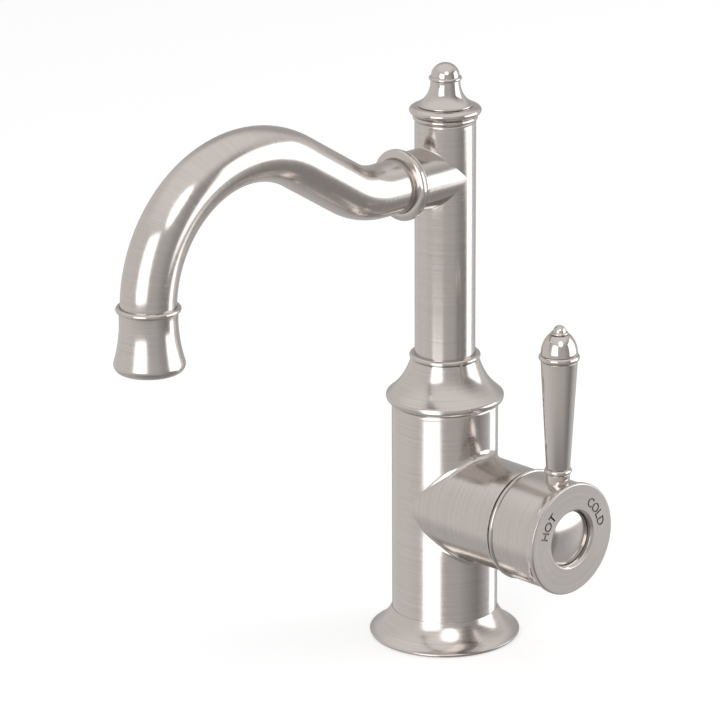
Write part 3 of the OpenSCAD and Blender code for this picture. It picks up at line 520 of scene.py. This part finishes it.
# Two equal cylinders that meet at right angles, with a rolled fillet between them.
# Barrel: (r cos t, r sin t, z). Branch: (x, r cos u, r sin u) from x = (r + q) |sin u|.
# The fillet ball of radius q has its centre at (r + q)(cos t, sin t, +-cos t), and the
# fillet is that centre plus q times the directions between its two touching points
def teeSheets(tee, lengthSteps=12, filletSteps=10):
    r, q, half = tee["r"], tee["fillet"], tee["quarterSteps"]
    t = np.radians(np.linspace(-90, 270, 4 * half, endpoint=False))
    front = np.radians(np.linspace(-90, 90, 2 * half + 1))
    reachIn = (r + q) * np.maximum(np.cos(t), 0)
    sheets = []
    ends = {-1: tee["bottom"], 1: tee["top"]}
    for side in (-1, 1):
        s = np.linspace(0, 1, lengthSteps + 1)[:, None]
        near, far = side * reachIn[None], np.full((1, len(t)), ends[side])
        z = far + (near - far) * s
        points = np.stack(np.broadcast_arrays(r * np.cos(t), r * np.sin(t), z), -1)
        sheets.append(gridSheet(points * mm, z * mm, t, r * mm))
        c, sn = np.cos(front), np.sin(front)
        centre = (r + q) * np.stack([c, sn, side * c], -1)
        toBarrel = -np.stack([c, sn, 0 * c], -1)
        toBranch = -np.stack([0 * c, sn, side * c], -1)
        gap = np.arccos(np.clip((toBarrel * toBranch).sum(-1), -1, 1))
        safe = np.maximum(np.sin(gap), 1e-9)
        w = np.linspace(0, 1, filletSteps + 1)[:, None]
        wa = np.where(gap < 1e-6, 1 - w, np.sin((1 - w) * gap) / safe)
        wb = np.where(gap < 1e-6, w, np.sin(w * gap) / safe)
        points = centre + q * (wa[..., None] * toBarrel + wb[..., None] * toBranch)
        sheets.append(gridSheet(points * mm, points[..., 2] * mm, front, r * mm,
            tee["filletPolish"], closedCols=False))
    # Branch, from the fillet out to its rounded mouth
    around = np.radians(np.linspace(-180, 180, 4 * half, endpoint=False))
    start = (r + q) * np.abs(np.sin(around))
    mouth = [[r, tee["reach"] - 2], [r, tee["reach"]], [tee["mouthR"], tee["reach"]]]
    mouth = eased(mouth, tee["mouthEase"], False, 3)
    s = np.linspace(0, 1, lengthSteps + 1)[:-1, None]
    x = start[None] + (mouth[0, 1] - start[None]) * s
    x = np.vstack([x, np.repeat(mouth[:, 1:], len(around), 1)])
    radius = np.vstack([np.full((len(s), len(around)), r), np.repeat(mouth[:, :1], len(around), 1)])
    points = np.stack([x, radius * np.cos(around), radius * np.sin(around)], -1)
    sheets.append(gridSheet(points * mm, (x + r - radius) * mm, around, r * mm))
    return sheets


# Moves sheets by a rotation matrix and an offset in mm
def placeSheets(sheets, turn, offset):
    for s in sheets:
        s["verts"] = s["verts"] @ np.array(turn, float).T + np.array(offset) * mm
    return sheets


bodyTee = {"r": 22.08, "fillet": 3.2, "quarterSteps": 48, "axisZ": shared["leverZ"], "foot": 1.6,
    "bodyTop": shared["bodyTop"] - 0.05, "reach": shared["mouthX"] - 0.1, "mouthR": 19.1,
    "mouthEase": 0.06, "filletPolish": 0.6, "wall": 0.35}


# Body: a tee whose branch points along X, given a wall inwards
def buildBody(b):
    tee = {**b, "bottom": b["foot"] - b["axisZ"], "top": b["bodyTop"] - b["axisZ"]}
    sheets = placeSheets(teeSheets(tee), np.eye(3), (0, 0, b["axisZ"]))
    makePiece("bodySkin", sheets, satinNickel, "body", thickness=b["wall"])


buildBody(bodyTee)

columnTee = {"r": shared["columnR"] + 0.03, "fillet": 0.5, "quarterSteps": 40,
    "axisZ": shared["spoutZ"], "foot": 114.7, "columnTop": shared["columnTop"] - 0.05,
    "reach": shared["branchLen"] - 0.02, "mouthR": 11.3, "mouthEase": 0.06, "filletPolish": 0.6,
    "wall": 0.3}


# Column: a tee whose branch is turned to -Y, given a wall inwards
def buildColumn(c):
    tee = {**c, "bottom": c["foot"] - c["axisZ"], "top": c["columnTop"] - c["axisZ"]}
    turn = [[0, 1, 0], [-1, 0, 0], [0, 0, 1]]
    sheets = placeSheets(teeSheets(tee), turn, (0, 0, c["axisZ"]))
    makePiece("columnSkin", sheets, satinNickel, "spout", thickness=c["wall"])


buildColumn(columnTee)
print("body and column ready")

# Cap and finial
cap = {"columnTop": shared["columnTop"], "columnR": shared["columnR"], "plugR": 10.85,
    "plugLen": 8.0, "beadH": 2.2, "r": 14.75, "rim": (2.08, 1.7), "crown": (3.1, 1.9),
    "top": shared["capTop"], "polish": 0.85}


# Cap: a plug, a small bead, then a large bead of two quarter ovals and a flat top
def buildCap(c):
    z, crownW, crownH = c["columnTop"], *c["crown"]
    large = c["top"] - crownH
    plug = [[0, z - c["plugLen"]], [c["plugR"], z - c["plugLen"]], [c["plugR"], z]]
    profile = eased([*plug, beadPoints(c["columnR"] + 0.75, z, c["beadH"]),
        ovalPoints((c["r"] - c["rim"][0], large), *c["rim"], -90, 0),
        ovalPoints((c["r"] - crownW, large), crownW, crownH, 5, 90), [0, c["top"]]], 0.2, False)
    makePiece("columnCap", [turnedSheet(profile, upAxis(), 192, False, c["polish"])],
        satinNickel, "spout", ["column_cap"])


buildCap(cap)

finial = {"footZ": shared["capTop"], "r": 11.4, "footH": 0.9, "coneH": 10.5, "domeR": 5.85,
    "beadH": 1.6, "segments": 160, "polish": 0.9}


# Finial: a foot bead, a hollow cone that is one cubic curve, a neck bead and an oval dome
def buildFinial(f):
    z, neck, d = f["footZ"], f["footZ"] + f["coneH"], f["domeR"]
    cone = cubicPoints([f["r"] - 0.4, z + f["footH"]], [f["r"] - 3, z + 2.2],
        [d + 0.06, z + 0.55 * f["coneH"]], [d + 0.21, neck], 36)
    bead = beadPoints(d + 0.9, neck + 0.05, f["beadH"] - 0.05)
    foot = beadPoints(f["r"], z, f["footH"])
    lower = eased([[0, z], foot, cone, bead, [0, neck + f["beadH"]]], 0.15, False)
    makePiece("finialCone", [turnedSheet(lower, upAxis(), f["segments"], False, f["polish"])],
        satinNickel, "spout", ["finial"])
    dome = ovalPoints((0, neck + f["beadH"]), d, d - 0.28, 0, 90, 24)
    knob = eased([[0, neck + 0.4], [d, neck + 0.4], dome], 0.1, False)
    makePiece("finialDome", [turnedSheet(knob, upAxis(), f["segments"], False, f["polish"])],
        satinNickel, "spout")


buildFinial(finial)

# Spout
spout = {"r": 11.0, "boreR": 9.8, "teeZ": shared["spoutZ"], "startY": shared["branchLen"] + 0.05,
    "riseY": 38.2, "riseR": 35.5, "riseAngle": 31.6, "riseLen": 30.6, "reach": shared["reach"],
    "endZ": shared["tubeEnd"], "endEase": 0.15, "segments": 160}


# The course as distance along it: level, arc up, straight climb, arc down, drop.
# Each arc is its centre + radius (cos t, sin t), and the last radius follows from the reach
def spoutCourse(s, steps=(4, 40, 14, 120, 3)):
    a = math.radians(s["riseAngle"])
    riseEnd = np.array([s["riseY"], s["teeZ"]]) + s["riseR"] * np.array([math.sin(a), 1 - math.cos(a)])
    crest = riseEnd + s["riseLen"] * np.array([math.cos(a), math.sin(a)])
    crestR = (s["reach"] - crest[0]) / (1 + math.sin(a))
    centre = crest + crestR * np.array([math.sin(a), -math.cos(a)])
    level = np.linspace([s["startY"], s["teeZ"]], [s["riseY"], s["teeZ"]], steps[0] + 1)
    up = arcPoints((s["riseY"], s["teeZ"] + s["riseR"]), s["riseR"], -90, s["riseAngle"] - 90, steps[1])
    climb = np.linspace(riseEnd, crest, steps[2] + 1)
    down = arcPoints(centre, crestR, 90 + s["riseAngle"], 0, steps[3])
    drop = np.linspace(centre + [crestR, 0], [s["reach"], s["endZ"]], steps[4] + 1)
    course = np.vstack([level, up[1:], climb[1:], down[1:], drop[1:]])
    slope = np.gradient(course, axis=0)
    slope[0], slope[-1] = (1, 0), (0, -1)
    return course, slope / np.linalg.norm(slope, axis=1)[:, None]


# Tube: course + r cos(t) across + r sin(t) sideways, outside there and inside back
def buildSpout(s):
    course, slope = spoutCourse(s)
    outer = np.full(len(course), s["r"])
    outer[[0, -1]] -= s["endEase"]
    path = np.vstack([course, course[::-1]])
    along = np.vstack([slope, slope[::-1]])
    radius = np.r_[outer, np.full(len(course), s["boreR"])]
    across = np.stack([np.zeros(len(path)), along[:, 1], along[:, 0]], -1)
    side = np.array([1.0, 0, 0])
    t = np.linspace(0, 2 * np.pi, s["segments"], endpoint=False)
    centre = np.stack([np.zeros(len(path)), -path[:, 0], path[:, 1]], -1)
    ring = np.cos(t)[None, :, None] * across[:, None] + np.sin(t)[None, :, None] * side
    points = centre[:, None] + radius[:, None, None] * ring
    length = np.r_[0, np.cumsum(np.linalg.norm(np.diff(path, axis=0), axis=1))]
    sheet = gridSheet(points * mm, length * mm, t, s["r"] * mm, 0.0, True)
    makePiece("spoutTube", [sheet], satinNickel, "spout", ["spout_tube"])


buildSpout(spout)

ring = {"branchLen": shared["branchLen"], "r": 14.75, "len": 4.6, "boreR": 11.06,
    "axisZ": shared["spoutZ"], "polish": 0.9}


# Ring: a thin bead against the branch, a groove, then a rounded face of two ovals
def buildRing(g):
    y, r = g["branchLen"], g["r"]
    front = y + g["len"]
    profile = eased([[g["boreR"], y], beadPoints(r - 0.75, y, 0.9), [r - 1.55, y + 1.15],
        ovalPoints((r - 1.1, y + 2.4), 1.1, 1, -90, 0),
        ovalPoints((11.3, front - 1.6), r - 11.3, 1.6, 0, 84, 24),
        [11.45, front - 0.1], [11.25, front - 0.35], [g["boreR"], front - 0.35]], 0.12)
    sheet = turnedSheet(profile, spoutAxis(g["axisZ"]), 192, polish=g["polish"])
    makePiece("unionRing", [sheet], satinNickel, "spout", ["union_ring"])


buildRing(ring)

bell = {"reach": shared["reach"], "top": 180.13, "bottom": 154.03, "r": 14.0, "neckR": 11.57,
    "beadH": 2.13, "rim": (2.75, 3.02), "aeratorR": 11.05, "tubeR": 11.1,
    "tubeEnd": shared["tubeEnd"], "stepR": 9.6, "washerTop": 165.18}


# Outlet bell: a rolled rim, a side that is one cubic curve, and a polished bead at the top
def buildBell(b):
    low, top, r, neck = b["bottom"], b["top"], b["r"], b["neckR"]
    rimW, rimH = b["rim"]
    side = cubicPoints([r - 0.15, low + 4], [r - 1.3, low + 7.7],
        [neck - 0.64, top - 10.26], [neck, top - 2.18], 44)
    inside = [[b["tubeR"], top], [b["tubeR"], b["tubeEnd"]], [b["stepR"], b["tubeEnd"]],
        [b["stepR"], b["washerTop"]], [b["aeratorR"], b["washerTop"]]]
    profile = eased([[b["aeratorR"], low], ovalPoints((r - rimW, low + rimH), rimW, rimH, -90, 15, 22),
        side, beadPoints(neck + 1.2, top - b["beadH"], b["beadH"]), *inside], 0.2)
    sheet = turnedSheet(profile, upAxis(0, -b["reach"]), 192, polish=polishAbove(top - 2.6, 0.5, 0.8))
    makePiece("outletBell", [sheet], satinNickel, "spout", ["outlet_bell"])


buildBell(bell)
print("spout ready")

# Dome and hub
dome = {"mouthX": shared["mouthX"], "pivotX": shared["pivotX"], "r": 27.13, "holeR": 14.88,
    "threadR": 18.95, "skirt": 5.2, "t": 1.7, "axisZ": shared["leverZ"], "polish": 0.5}


# Trim ring: two arcs round the stem's pivot, from the threaded skirt to the stem's hole
def buildDome(d):
    r, inR, x = d["r"], d["r"] - d["t"], d["mouthX"]
    edge = math.degrees(math.asin((x - d["pivotX"]) / r))
    hole = math.degrees(math.acos(d["holeR"] / r))
    holeIn = math.degrees(math.acos((d["holeR"] + 0.3) / inR))
    skirtIn = math.degrees(math.acos((d["threadR"] - 1.75) / inR))
    centre = (0, d["pivotX"])
    profile = eased([[d["threadR"], x - d["skirt"]], [d["threadR"], x],
        arcPoints(centre, r, edge, hole, 24), arcPoints(centre, inR, holeIn, skirtIn, 14),
        [d["threadR"] - 1.75, x - d["skirt"]]], 0.15)
    sheet = turnedSheet(profile, leverAxis(d["axisZ"]), 192, polish=d["polish"])
    # The trim takes the near-black nickel: painted shade in the gap between body and hub
    makePiece("domeTrim", [sheet], gapShadeNickel, "body", ["dome_trim"])


buildDome(dome)

hub = {"x": 47.75, "faceX": 73.15, "skirtR": 23.2, "barrelR": 22.65, "rimR": 23.5, "edge": 0.5,
    "rearRim": (0.8, 0.85), "grooveX": (1.75, 1.95, 2.15), "grooveDepth": 0.15, "recessR": 11.6,
    "recessX": 66.65, "screwR": 2.6, "cavityR": 27.73, "pivotX": shared["pivotX"],
    "axisZ": shared["leverZ"], "segments": 216}
words = {
    "HOT": {"r": 16.7, "angles": (162, 148, 134.5)},
    "COLD": {"r": 16.7, "angles": (51, 37, 25, 12.4)},
}
# capShare: a capital's height as a share of the font's size
lettering = {"height": 4.0, "capShare": 0.73, "depth": 0.35, "stroke": 0.08}


# Hub: a rounded rear rim, a groove, the barrel, a flare that is one cubic curve, the face
# with its recess, and a cavity that is an arc round the stem's pivot
def buildHub(h):
    x, face, br, rr, e = h["x"], h["faceX"], h["barrelR"], h["rimR"], h["edge"]
    rimW, rimH = h["rearRim"]
    rim = ovalPoints((h["skirtR"] - rimW, x + rimH), rimW, rimH, -90, 90, 12)
    deep = br - h["grooveDepth"]
    groove = [[radius, x + far] for radius, far in zip((deep, deep, br), h["grooveX"])]
    flare = cubicPoints([br, face - 5.6], [br, face - 3.6], [rr - 0.3, face - 2.8],
        [rr, face - 1.9], 16)
    front = [[rr, face - e], [rr - e, face], [rr - 1.4, face]]
    rc = h["recessR"]
    recess = [[rc + 1.4, face], [rc + 0.9, face], [rc, face - 0.9], [rc, h["recessX"]],
        [h["screwR"], h["recessX"]]]
    cavityEdge = math.degrees(math.asin((x - h["pivotX"]) / h["cavityR"]))
    cavityTop = math.degrees(math.acos(h["screwR"] / h["cavityR"]))
    cavity = arcPoints((0, h["pivotX"]), h["cavityR"], cavityTop, cavityEdge, 40)
    profile = eased([[h["skirtR"] - 1.4, x], rim, *groove, [br, x + 8], [br, face - 10], flare,
        *front, *recess, cavity], 0.15)
    sheet = turnedSheet(profile, leverAxis(h["axisZ"]), h["segments"])
    piece = makePiece("handleHub", [sheet], satinNickel, "handle", ["handle_hub"])
    engrave(piece, h)


# Mesh of a modified or a text object
def bakedMesh(obj):
    bpy.context.view_layer.update()
    return bpy.data.meshes.new_from_object(obj.evaluated_get(bpy.context.evaluated_depsgraph_get()))


# A letter as a mesh on the hub's face: it stands at an angle on a circle round the
# lever's axis, upright along the radius
def letterMesh(letter, r, angle, h):
    curve = bpy.data.curves.new(letter, "FONT")
    curve.body = letter
    curve.size = lettering["height"] / lettering["capShare"] * mm
    curve.align_x = curve.align_y = "CENTER"
    curve.offset = lettering["stroke"] * mm
    curve.extrude = lettering["depth"] * mm
    curve.resolution_u = 6
    text = newObject(letter, curve)
    flat = bakedMesh(text)
    a = math.radians(angle)
    right, up = Vector((0, math.sin(a), -math.cos(a))), Vector((0, math.cos(a), math.sin(a)))
    turn = Matrix((right, up, Vector((1, 0, 0)))).transposed().to_4x4()
    spot = Vector((h["faceX"], r * math.cos(a), h["axisZ"] + r * math.sin(a))) * mm
    flat.transform(Matrix.Translation(spot) @ turn)
    bpy.data.objects.remove(text)
    bpy.data.curves.remove(curve)
    return flat


# Cuts the letters into the hub's face and gives the cut faces a dark colour: painted shade in the
# engraving
def engrave(piece, h):
    cutters = bmesh.new()
    for word, place in words.items():
        for letter, angle in zip(word, place["angles"]):
            flat = letterMesh(letter, place["r"], angle, h)
            cutters.from_mesh(flat)
            bpy.data.meshes.remove(flat)
    bmesh.ops.remove_doubles(cutters, verts=cutters.verts, dist=1e-6)
    bmesh.ops.recalc_face_normals(cutters, faces=cutters.faces)
    mesh = bpy.data.meshes.new("letterCutters")
    cutters.to_mesh(mesh)
    cutters.free()
    tool = newObject("letterCutters", mesh)
    cut = piece.modifiers.new("letters", "BOOLEAN")
    cut.operation = "DIFFERENCE"
    cut.solver = "EXACT"
    cut.object = tool
    result = bakedMesh(piece)
    piece.modifiers.clear()
    old, piece.data = piece.data, result
    bpy.data.meshes.remove(old)
    bpy.data.objects.remove(tool)
    bpy.data.meshes.remove(mesh)
    result.name = "handleHub"
    result.set_sharp_from_angle(angle=math.radians(28))
    middle = np.zeros(3 * len(result.polygons))
    result.polygons.foreach_get("center", middle)
    x, y, z = middle.reshape(-1, 3).T / mm
    fromAxis = np.hypot(y, z - h["axisZ"])
    sunk = (x < h["faceX"] - 0.01) & (x > h["faceX"] - 0.5)
    onFace = (fromAxis > h["recessR"] + 1.6) & (fromAxis < h["rimR"] - 1)
    # The sunk letter faces take the painted shade
    result.materials.append(paintedLetterShade)
    result.polygons.foreach_set("material_index", (sunk & onFace).astype(np.int32))
    print("letters cut:", len(result.polygons), "faces")


buildHub(hub)

button = {"r": 11.4, "x": 66.95, "edgeX": 70.75, "crown": 1.6, "wall": 1.5,
    "axisZ": shared["leverZ"], "polish": 1.0}


# Button: a short wall and a crown that is one arc; its radius follows from its rise
def buildButton(b):
    flat, inner = b["r"] - 0.2, b["r"] - b["wall"]
    crownR = (flat**2 + b["crown"] ** 2) / (2 * b["crown"])
    rim = math.degrees(math.acos(flat / crownR))
    crown = arcPoints((0, b["edgeX"] + b["crown"] - crownR), crownR, rim, 90, 40)
    over = eased([[inner, b["x"]], [b["r"], b["x"]], [b["r"], b["edgeX"] - 0.2], crown], 0.25, False)
    under = eased([[0, b["edgeX"] - 1.1], [inner - 1, b["edgeX"] - 1.1], [inner, b["edgeX"] - 2],
        [inner, b["x"]]], 0.2, False)
    sheet = turnedSheet(np.vstack([under, over[1:]]), leverAxis(b["axisZ"]), 192, False, b["polish"])
    makePiece("indexButton", [sheet], brightNickel, "handle", ["index_button"])


buildButton(button)

# Lever
lever = {"x": shared["leverX"], "footZ": 81.95, "neckR": 4.85, "beadZ": 88.45, "beadH": 2.3,
    "beadR": 5.65, "gripZ": 89.6, "gripTop": 135.4, "lowR": 4.9, "highR": 7.5, "topBeadR": 8.35,
    "topBeadH": 2.8, "polish": 0.85}


# Grip: a neck, a small bead, a straight taper that widens upwards, and a larger bead
def buildGrip(g):
    low, top = g["beadZ"] - g["beadH"] / 2, g["gripTop"]
    profile = eased([[0, g["footZ"]], [g["neckR"], g["footZ"]], [g["neckR"], low - 0.1],
        beadPoints(g["beadR"], low, g["beadH"]), [g["lowR"], g["gripZ"] + 0.1],
        [g["highR"], top - 0.05], beadPoints(g["topBeadR"], top, g["topBeadH"], 18),
        [0, top + g["topBeadH"]]], 0.18, False)

    # Polished below the taper and above it
    def shine(z):
        above, below = (z - top + 0.4) / 0.4, (g["gripZ"] + 0.6 - z) / 0.4
        return g["polish"] * np.maximum(np.clip(above, 0, 1), np.clip(below, 0, 1))

    sheet = turnedSheet(profile, upAxis(g["x"]), 160, False, shine)
    makePiece("leverGrip", [sheet], satinNickel, "handle", ["lever_grip"])


buildGrip(lever)

tip = {"x": shared["leverX"], "z": lever["gripTop"] + lever["topBeadH"], "baseR": 7.55,
    "domeH": 9.8, "domeEnd": 56.7, "collarH": 1.1, "ballR": 2.7, "polish": 0.9}


# Lever's cap: part of an oval dome, a small collar where it ends, and a ball
def buildTip(t):
    z = t["z"] + 0.837 * t["domeH"]
    profile = eased([[0, t["z"]],
        ovalPoints((0, t["z"]), t["baseR"], t["domeH"], 0, t["domeEnd"], 28),
        beadPoints(t["ballR"] + 0.88, z, t["collarH"], 10),
        ovalPoints((0, z + t["collarH"]), t["ballR"], t["ballR"], 0, 90, 20)], 0.12, False)
    sheet = turnedSheet(profile, upAxis(t["x"]), 128, False, t["polish"])
    makePiece("leverTip", [sheet], satinNickel, "handle", ["lever_cap"])


buildTip(tip)
print("lever ready")

# Studio
uprightPieces = ["bodySkin", "columnSkin", "shoulderCollar", "baseFlange"]
finialPieces = ["finialCone", "finialDome"]
# A lamp with "only" lights those pieces, and one with "except" lights all others
studio = {
    "camera": {"azimuth": 46.12, "elevation": 18.61, "roll": -0.311,
        "place": (1.13541, -1.14056, 0.66207), "focal": 4108 / 720},  # focal per picture width
    "boxCentre": (0, -0.03), "boxDistance": 1.5,
    # Upright boxes: azimuth of the middle, width, then the heights of both ends in m
    "boxes": {
        "keyUpper": {"azimuth": 17, "width": 1.04, "z": (-0.03, 1.15), "brightness": 2.1},
        "keyLower": {"azimuth": 17, "width": 1.04, "z": (-1.9, -0.42), "brightness": 2.1,
            "only": uprightPieces},
        "sideUpper": {"azimuth": 137, "width": 1.5, "z": (-0.2, 1.04), "brightness": 2.1,
            "except": uprightPieces + finialPieces},
        "sideNarrow": {"azimuth": 141, "width": 1.0, "z": (-0.2, 0.66), "brightness": 2.1,
            "only": uprightPieces},
        "sideFinial": {"azimuth": 142, "width": 1.04, "z": (-0.2, 0.94), "brightness": 2.1,
            "only": finialPieces},
        "bodyStrip": {"azimuth": 172.5, "width": 0.54, "z": (-1.0, -0.2), "brightness": 1.9,
            "only": ["bodySkin"]},
        "sideStrip": {"azimuth": 149.5, "width": 0.68, "z": (-0.46, -0.2), "brightness": 2.1,
            "only": ["columnSkin", "shoulderCollar", "baseFlange", "outletBell", "spoutTube"]},
        "faceWash": {"azimuth": 134, "width": 1.1, "z": (-1.5, 0.0), "brightness": 0.26,
            "only": ["handleHub", "indexButton"]},
    },
    "roundLamp": {"centre": (0, -0.03, 0.12), "azimuth": 58.5, "elevation": 43, "distance": 1.4,
        "size": 0.62, "brightness": 2.6,
        "only": ["baseFlange", "finialDome", "leverTip", "spoutTube"]},
    # World: ambient is its strength as light, and the rest are the tones that the metal
    # reflects: (azimuth, tone) level with it, one overhead and two below. A fade or turn
    # gives where along Z or X one tone passes into the next
    "world": {
        "ambient": 0.55,
        "sides": [(-180, 0.8), (-160, 0.5), (-122, 0.5), (-104, 0.76), (-45, 0.8), (0, 0.7), (44, 0.6),
            (75, 0.57), (95, 0.43), (122, 0.28), (136, 0.45), (150, 0.62), (180, 0.8)],
        "overhead": 0.95, "overheadFade": (0.45, 0.85),
        "belowLeft": 0.6, "belowRight": 0.33, "belowTurn": (-0.5, 0.5), "belowFade": (-0.36, -0.62),
        "warmth": (1.0, 0.985, 0.97),
    },
    "floor": {"r": 3.0, "z": -0.0002, "segments": 128, "glow": 0.42, "colour": (0.9, 0.9, 0.9),
        "rough": 0.9},
}


# Direction from the object towards an azimuth and elevation in degrees
def towards(azimuth, elevation):
    a, e = math.radians(azimuth), math.radians(elevation)
    return Vector((math.sin(a) * math.cos(e), -math.cos(a) * math.cos(e), math.sin(e)))


# Camera at its place, looking back along its azimuth and elevation, then rolled
def addCamera(c):
    data = bpy.data.cameras.new("camera")
    data.sensor_width = 36
    data.lens = data.sensor_width * c["focal"]
    data.clip_end = 20
    camera = newObject("camera", data)
    back = towards(c["azimuth"], c["elevation"])
    a, r = math.radians(c["azimuth"]), math.radians(c["roll"])
    right = Vector((math.cos(a), math.sin(a), 0))
    up = back.cross(right)
    right, up = math.cos(r) * right + math.sin(r) * up, math.cos(r) * up - math.sin(r) * right
    turn = Matrix((right, up, back)).transposed().to_4x4()
    camera.matrix_world = Matrix.Translation(c["place"]) @ turn
    bpy.context.scene.camera = camera


# Area lamp that looks at the target; its power is brightness times pi times its area
def addLamp(name, shape, size, brightness, spot, target):
    light = bpy.data.lights.new(name, "AREA")
    light.shape = shape
    light.size, light.size_y = size
    share = math.pi / 4 if shape == "DISK" else 1
    light.energy = brightness * math.pi * size[0] * size[1] * share
    lamp = newObject(name, light)
    turn = (spot - target).to_track_quat("Z", "Y").to_matrix().to_4x4()
    lamp.matrix_world = Matrix.Translation(spot) @ turn
    lamp.visible_camera = False
    return lamp


# Light linking, where the lamp doesn't light every piece
def chooseLit(lamp, b):
    names = b.get("only") or b.get("except")
    if not names:
        return
    chosen = bpy.data.collections.new(lamp.name + "Pieces")
    for name in names:
        chosen.objects.link(bpy.data.objects[name])
    if "except" in b:
        for entry in chosen.collection_objects:
            entry.light_linking.link_state = "EXCLUDE"
    lamp.light_linking.receiver_collection = chosen


def addBox(name, b, middle, distance):
    low, high = b["z"]
    centre = Vector((*middle, (low + high) / 2))
    spot = centre + towards(b["azimuth"], 0) * distance
    lamp = addLamp(name, "RECTANGLE", (b["width"], high - low), b["brightness"], spot, centre)
    chooseLit(lamp, b)


def addRoundLamp(r):
    centre = Vector(r["centre"])
    spot = centre + towards(r["azimuth"], r["elevation"]) * r["distance"]
    lamp = addLamp("roundLamp", "DISK", (r["size"], r["size"]), r["brightness"], spot, centre)
    chooseLit(lamp, r)


# Light Path's camera, glossy and transmission rays added: 1 for any of them
def seenRays(tree):
    path = addNode(tree, "LightPath")
    seen = mathNode(tree, "ADD", path.outputs["Is Camera Ray"], path.outputs["Is Glossy Ray"])
    seen = mathNode(tree, "ADD", seen, path.outputs["Is Transmission Ray"])
    return mathNode(tree, "MINIMUM", seen, 1.0)


# Map Range node from one pair of limits to another, with soft ends
def fadeNode(tree, value, limits, tones=(0, 1)):
    fade = addNode(tree, "MapRange", interpolation_type="SMOOTHSTEP")
    fade.inputs["From Min"].default_value, fade.inputs["From Max"].default_value = limits
    fade.inputs["To Min"].default_value, fade.inputs["To Max"].default_value = tones
    wire(tree, (value, fade.inputs["Value"]))
    return fade.outputs["Result"]


# White world. In reflections its tone follows the direction: azimuth atan2(x, -y)
# through the stops of sides, then towards the other tones overhead and below
def addWorld(w):
    world = bpy.data.worlds.new("studioWorld")
    bpy.context.scene.world = world
    world.use_nodes = True
    tree = world.node_tree
    place, split = addNode(tree, "TexCoord"), addNode(tree, "SeparateXYZ")
    ramp = addNode(tree, "ValToRGB")
    x, y, z = split.outputs
    turn = mathNode(tree, "ARCTAN2", x, mathNode(tree, "MULTIPLY", y, -1.0))
    stops = ramp.color_ramp.elements
    while len(stops) < len(w["sides"]):
        stops.new(0.5)
    for stop, (azimuth, tone) in zip(stops, w["sides"]):
        stop.position = (azimuth + 180) / 360
        stop.color = (tone, tone, tone, 1)
    wire(tree, (place.outputs["Generated"], split.inputs[0]),
        (mathNode(tree, "ADD", mathNode(tree, "DIVIDE", turn, 2 * math.pi), 0.5), ramp.inputs["Fac"]))
    overhead = addNode(tree, "Value")
    overhead.outputs[0].default_value = w["overhead"]
    below = fadeNode(tree, x, w["belowTurn"], (w["belowLeft"], w["belowRight"]))
    tone = ramp.outputs["Color"]
    for fade, other in ((w["overheadFade"], overhead.outputs[0]), (w["belowFade"], below)):
        blend = addNode(tree, "Mix", data_type="RGBA")
        wire(tree, (fadeNode(tree, z, fade), blend.inputs[0]), (tone, blend.inputs[6]),
            (other, blend.inputs[7]))
        tone = blend.outputs[2]
    warm = addNode(tree, "Mix", data_type="RGBA", blend_type="MULTIPLY")
    warm.inputs[0].default_value = 1.0
    warm.inputs[7].default_value = (*w["warmth"], 1)
    shown = addNode(tree, "Mix", data_type="RGBA")
    shown.inputs[6].default_value = (1, 1, 1, 1)
    path = addNode(tree, "LightPath")
    seen = mathNode(tree, "MULTIPLY", seenRays(tree), 1 - w["ambient"])
    strength = mathNode(tree, "ADD", seen, w["ambient"])
    back = tree.nodes["Background"]
    wire(tree, (tone, warm.inputs[6]), (warm.outputs[2], shown.inputs[7]),
        (path.outputs["Is Glossy Ray"], shown.inputs[0]),
        (shown.outputs[2], back.inputs["Color"]), (strength, back.inputs["Strength"]))


# Pale floor: a disc that is white where it is lit, keeps the shadow, and is open from below
def addFloor(f):
    count = f["segments"]
    t = np.linspace(0, 2 * np.pi, count, endpoint=False)
    rim = np.stack([np.cos(t) * f["r"], np.sin(t) * f["r"], np.full(count, f["z"])], 1)
    mesh = bpy.data.meshes.new("floor")
    mesh.from_pydata(rim.tolist(), [], [list(range(count))])
    floor = newObject("floor", mesh)
    material = bpy.data.materials.new("paleFloor")
    material.use_nodes = True
    tree = material.node_tree
    shader = tree.nodes["Principled BSDF"]
    shader.inputs["Base Color"].default_value = (*f["colour"], 1)
    shader.inputs["Roughness"].default_value = f["rough"]
    shader.inputs["Specular IOR Level"].default_value = 0.1
    white = addNode(tree, "Emission")
    white.inputs["Color"].default_value = (1, 1, 1, 1)
    wire(tree, (mathNode(tree, "MULTIPLY", seenRays(tree), f["glow"]), white.inputs["Strength"]))
    both = addNode(tree, "AddShader")
    clear = addNode(tree, "BsdfTransparent")
    side = addNode(tree, "NewGeometry")
    choose = addNode(tree, "MixShader")
    wire(tree, (shader.outputs[0], both.inputs[0]), (white.outputs[0], both.inputs[1]),
        (side.outputs["Backfacing"], choose.inputs[0]), (both.outputs[0], choose.inputs[1]),
        (clear.outputs[0], choose.inputs[2]),
        (choose.outputs[0], tree.nodes["Material Output"].inputs[0]))
    mesh.materials.append(material)
    floor.visible_glossy = False


addCamera(studio["camera"])
for name, box in studio["boxes"].items():
    addBox(name, box, studio["boxCentre"], studio["boxDistance"])
addRoundLamp(studio["roundLamp"])
addWorld(studio["world"])
addFloor(studio["floor"])
bpy.context.scene.view_settings.view_transform = "Standard"
print("studio ready")
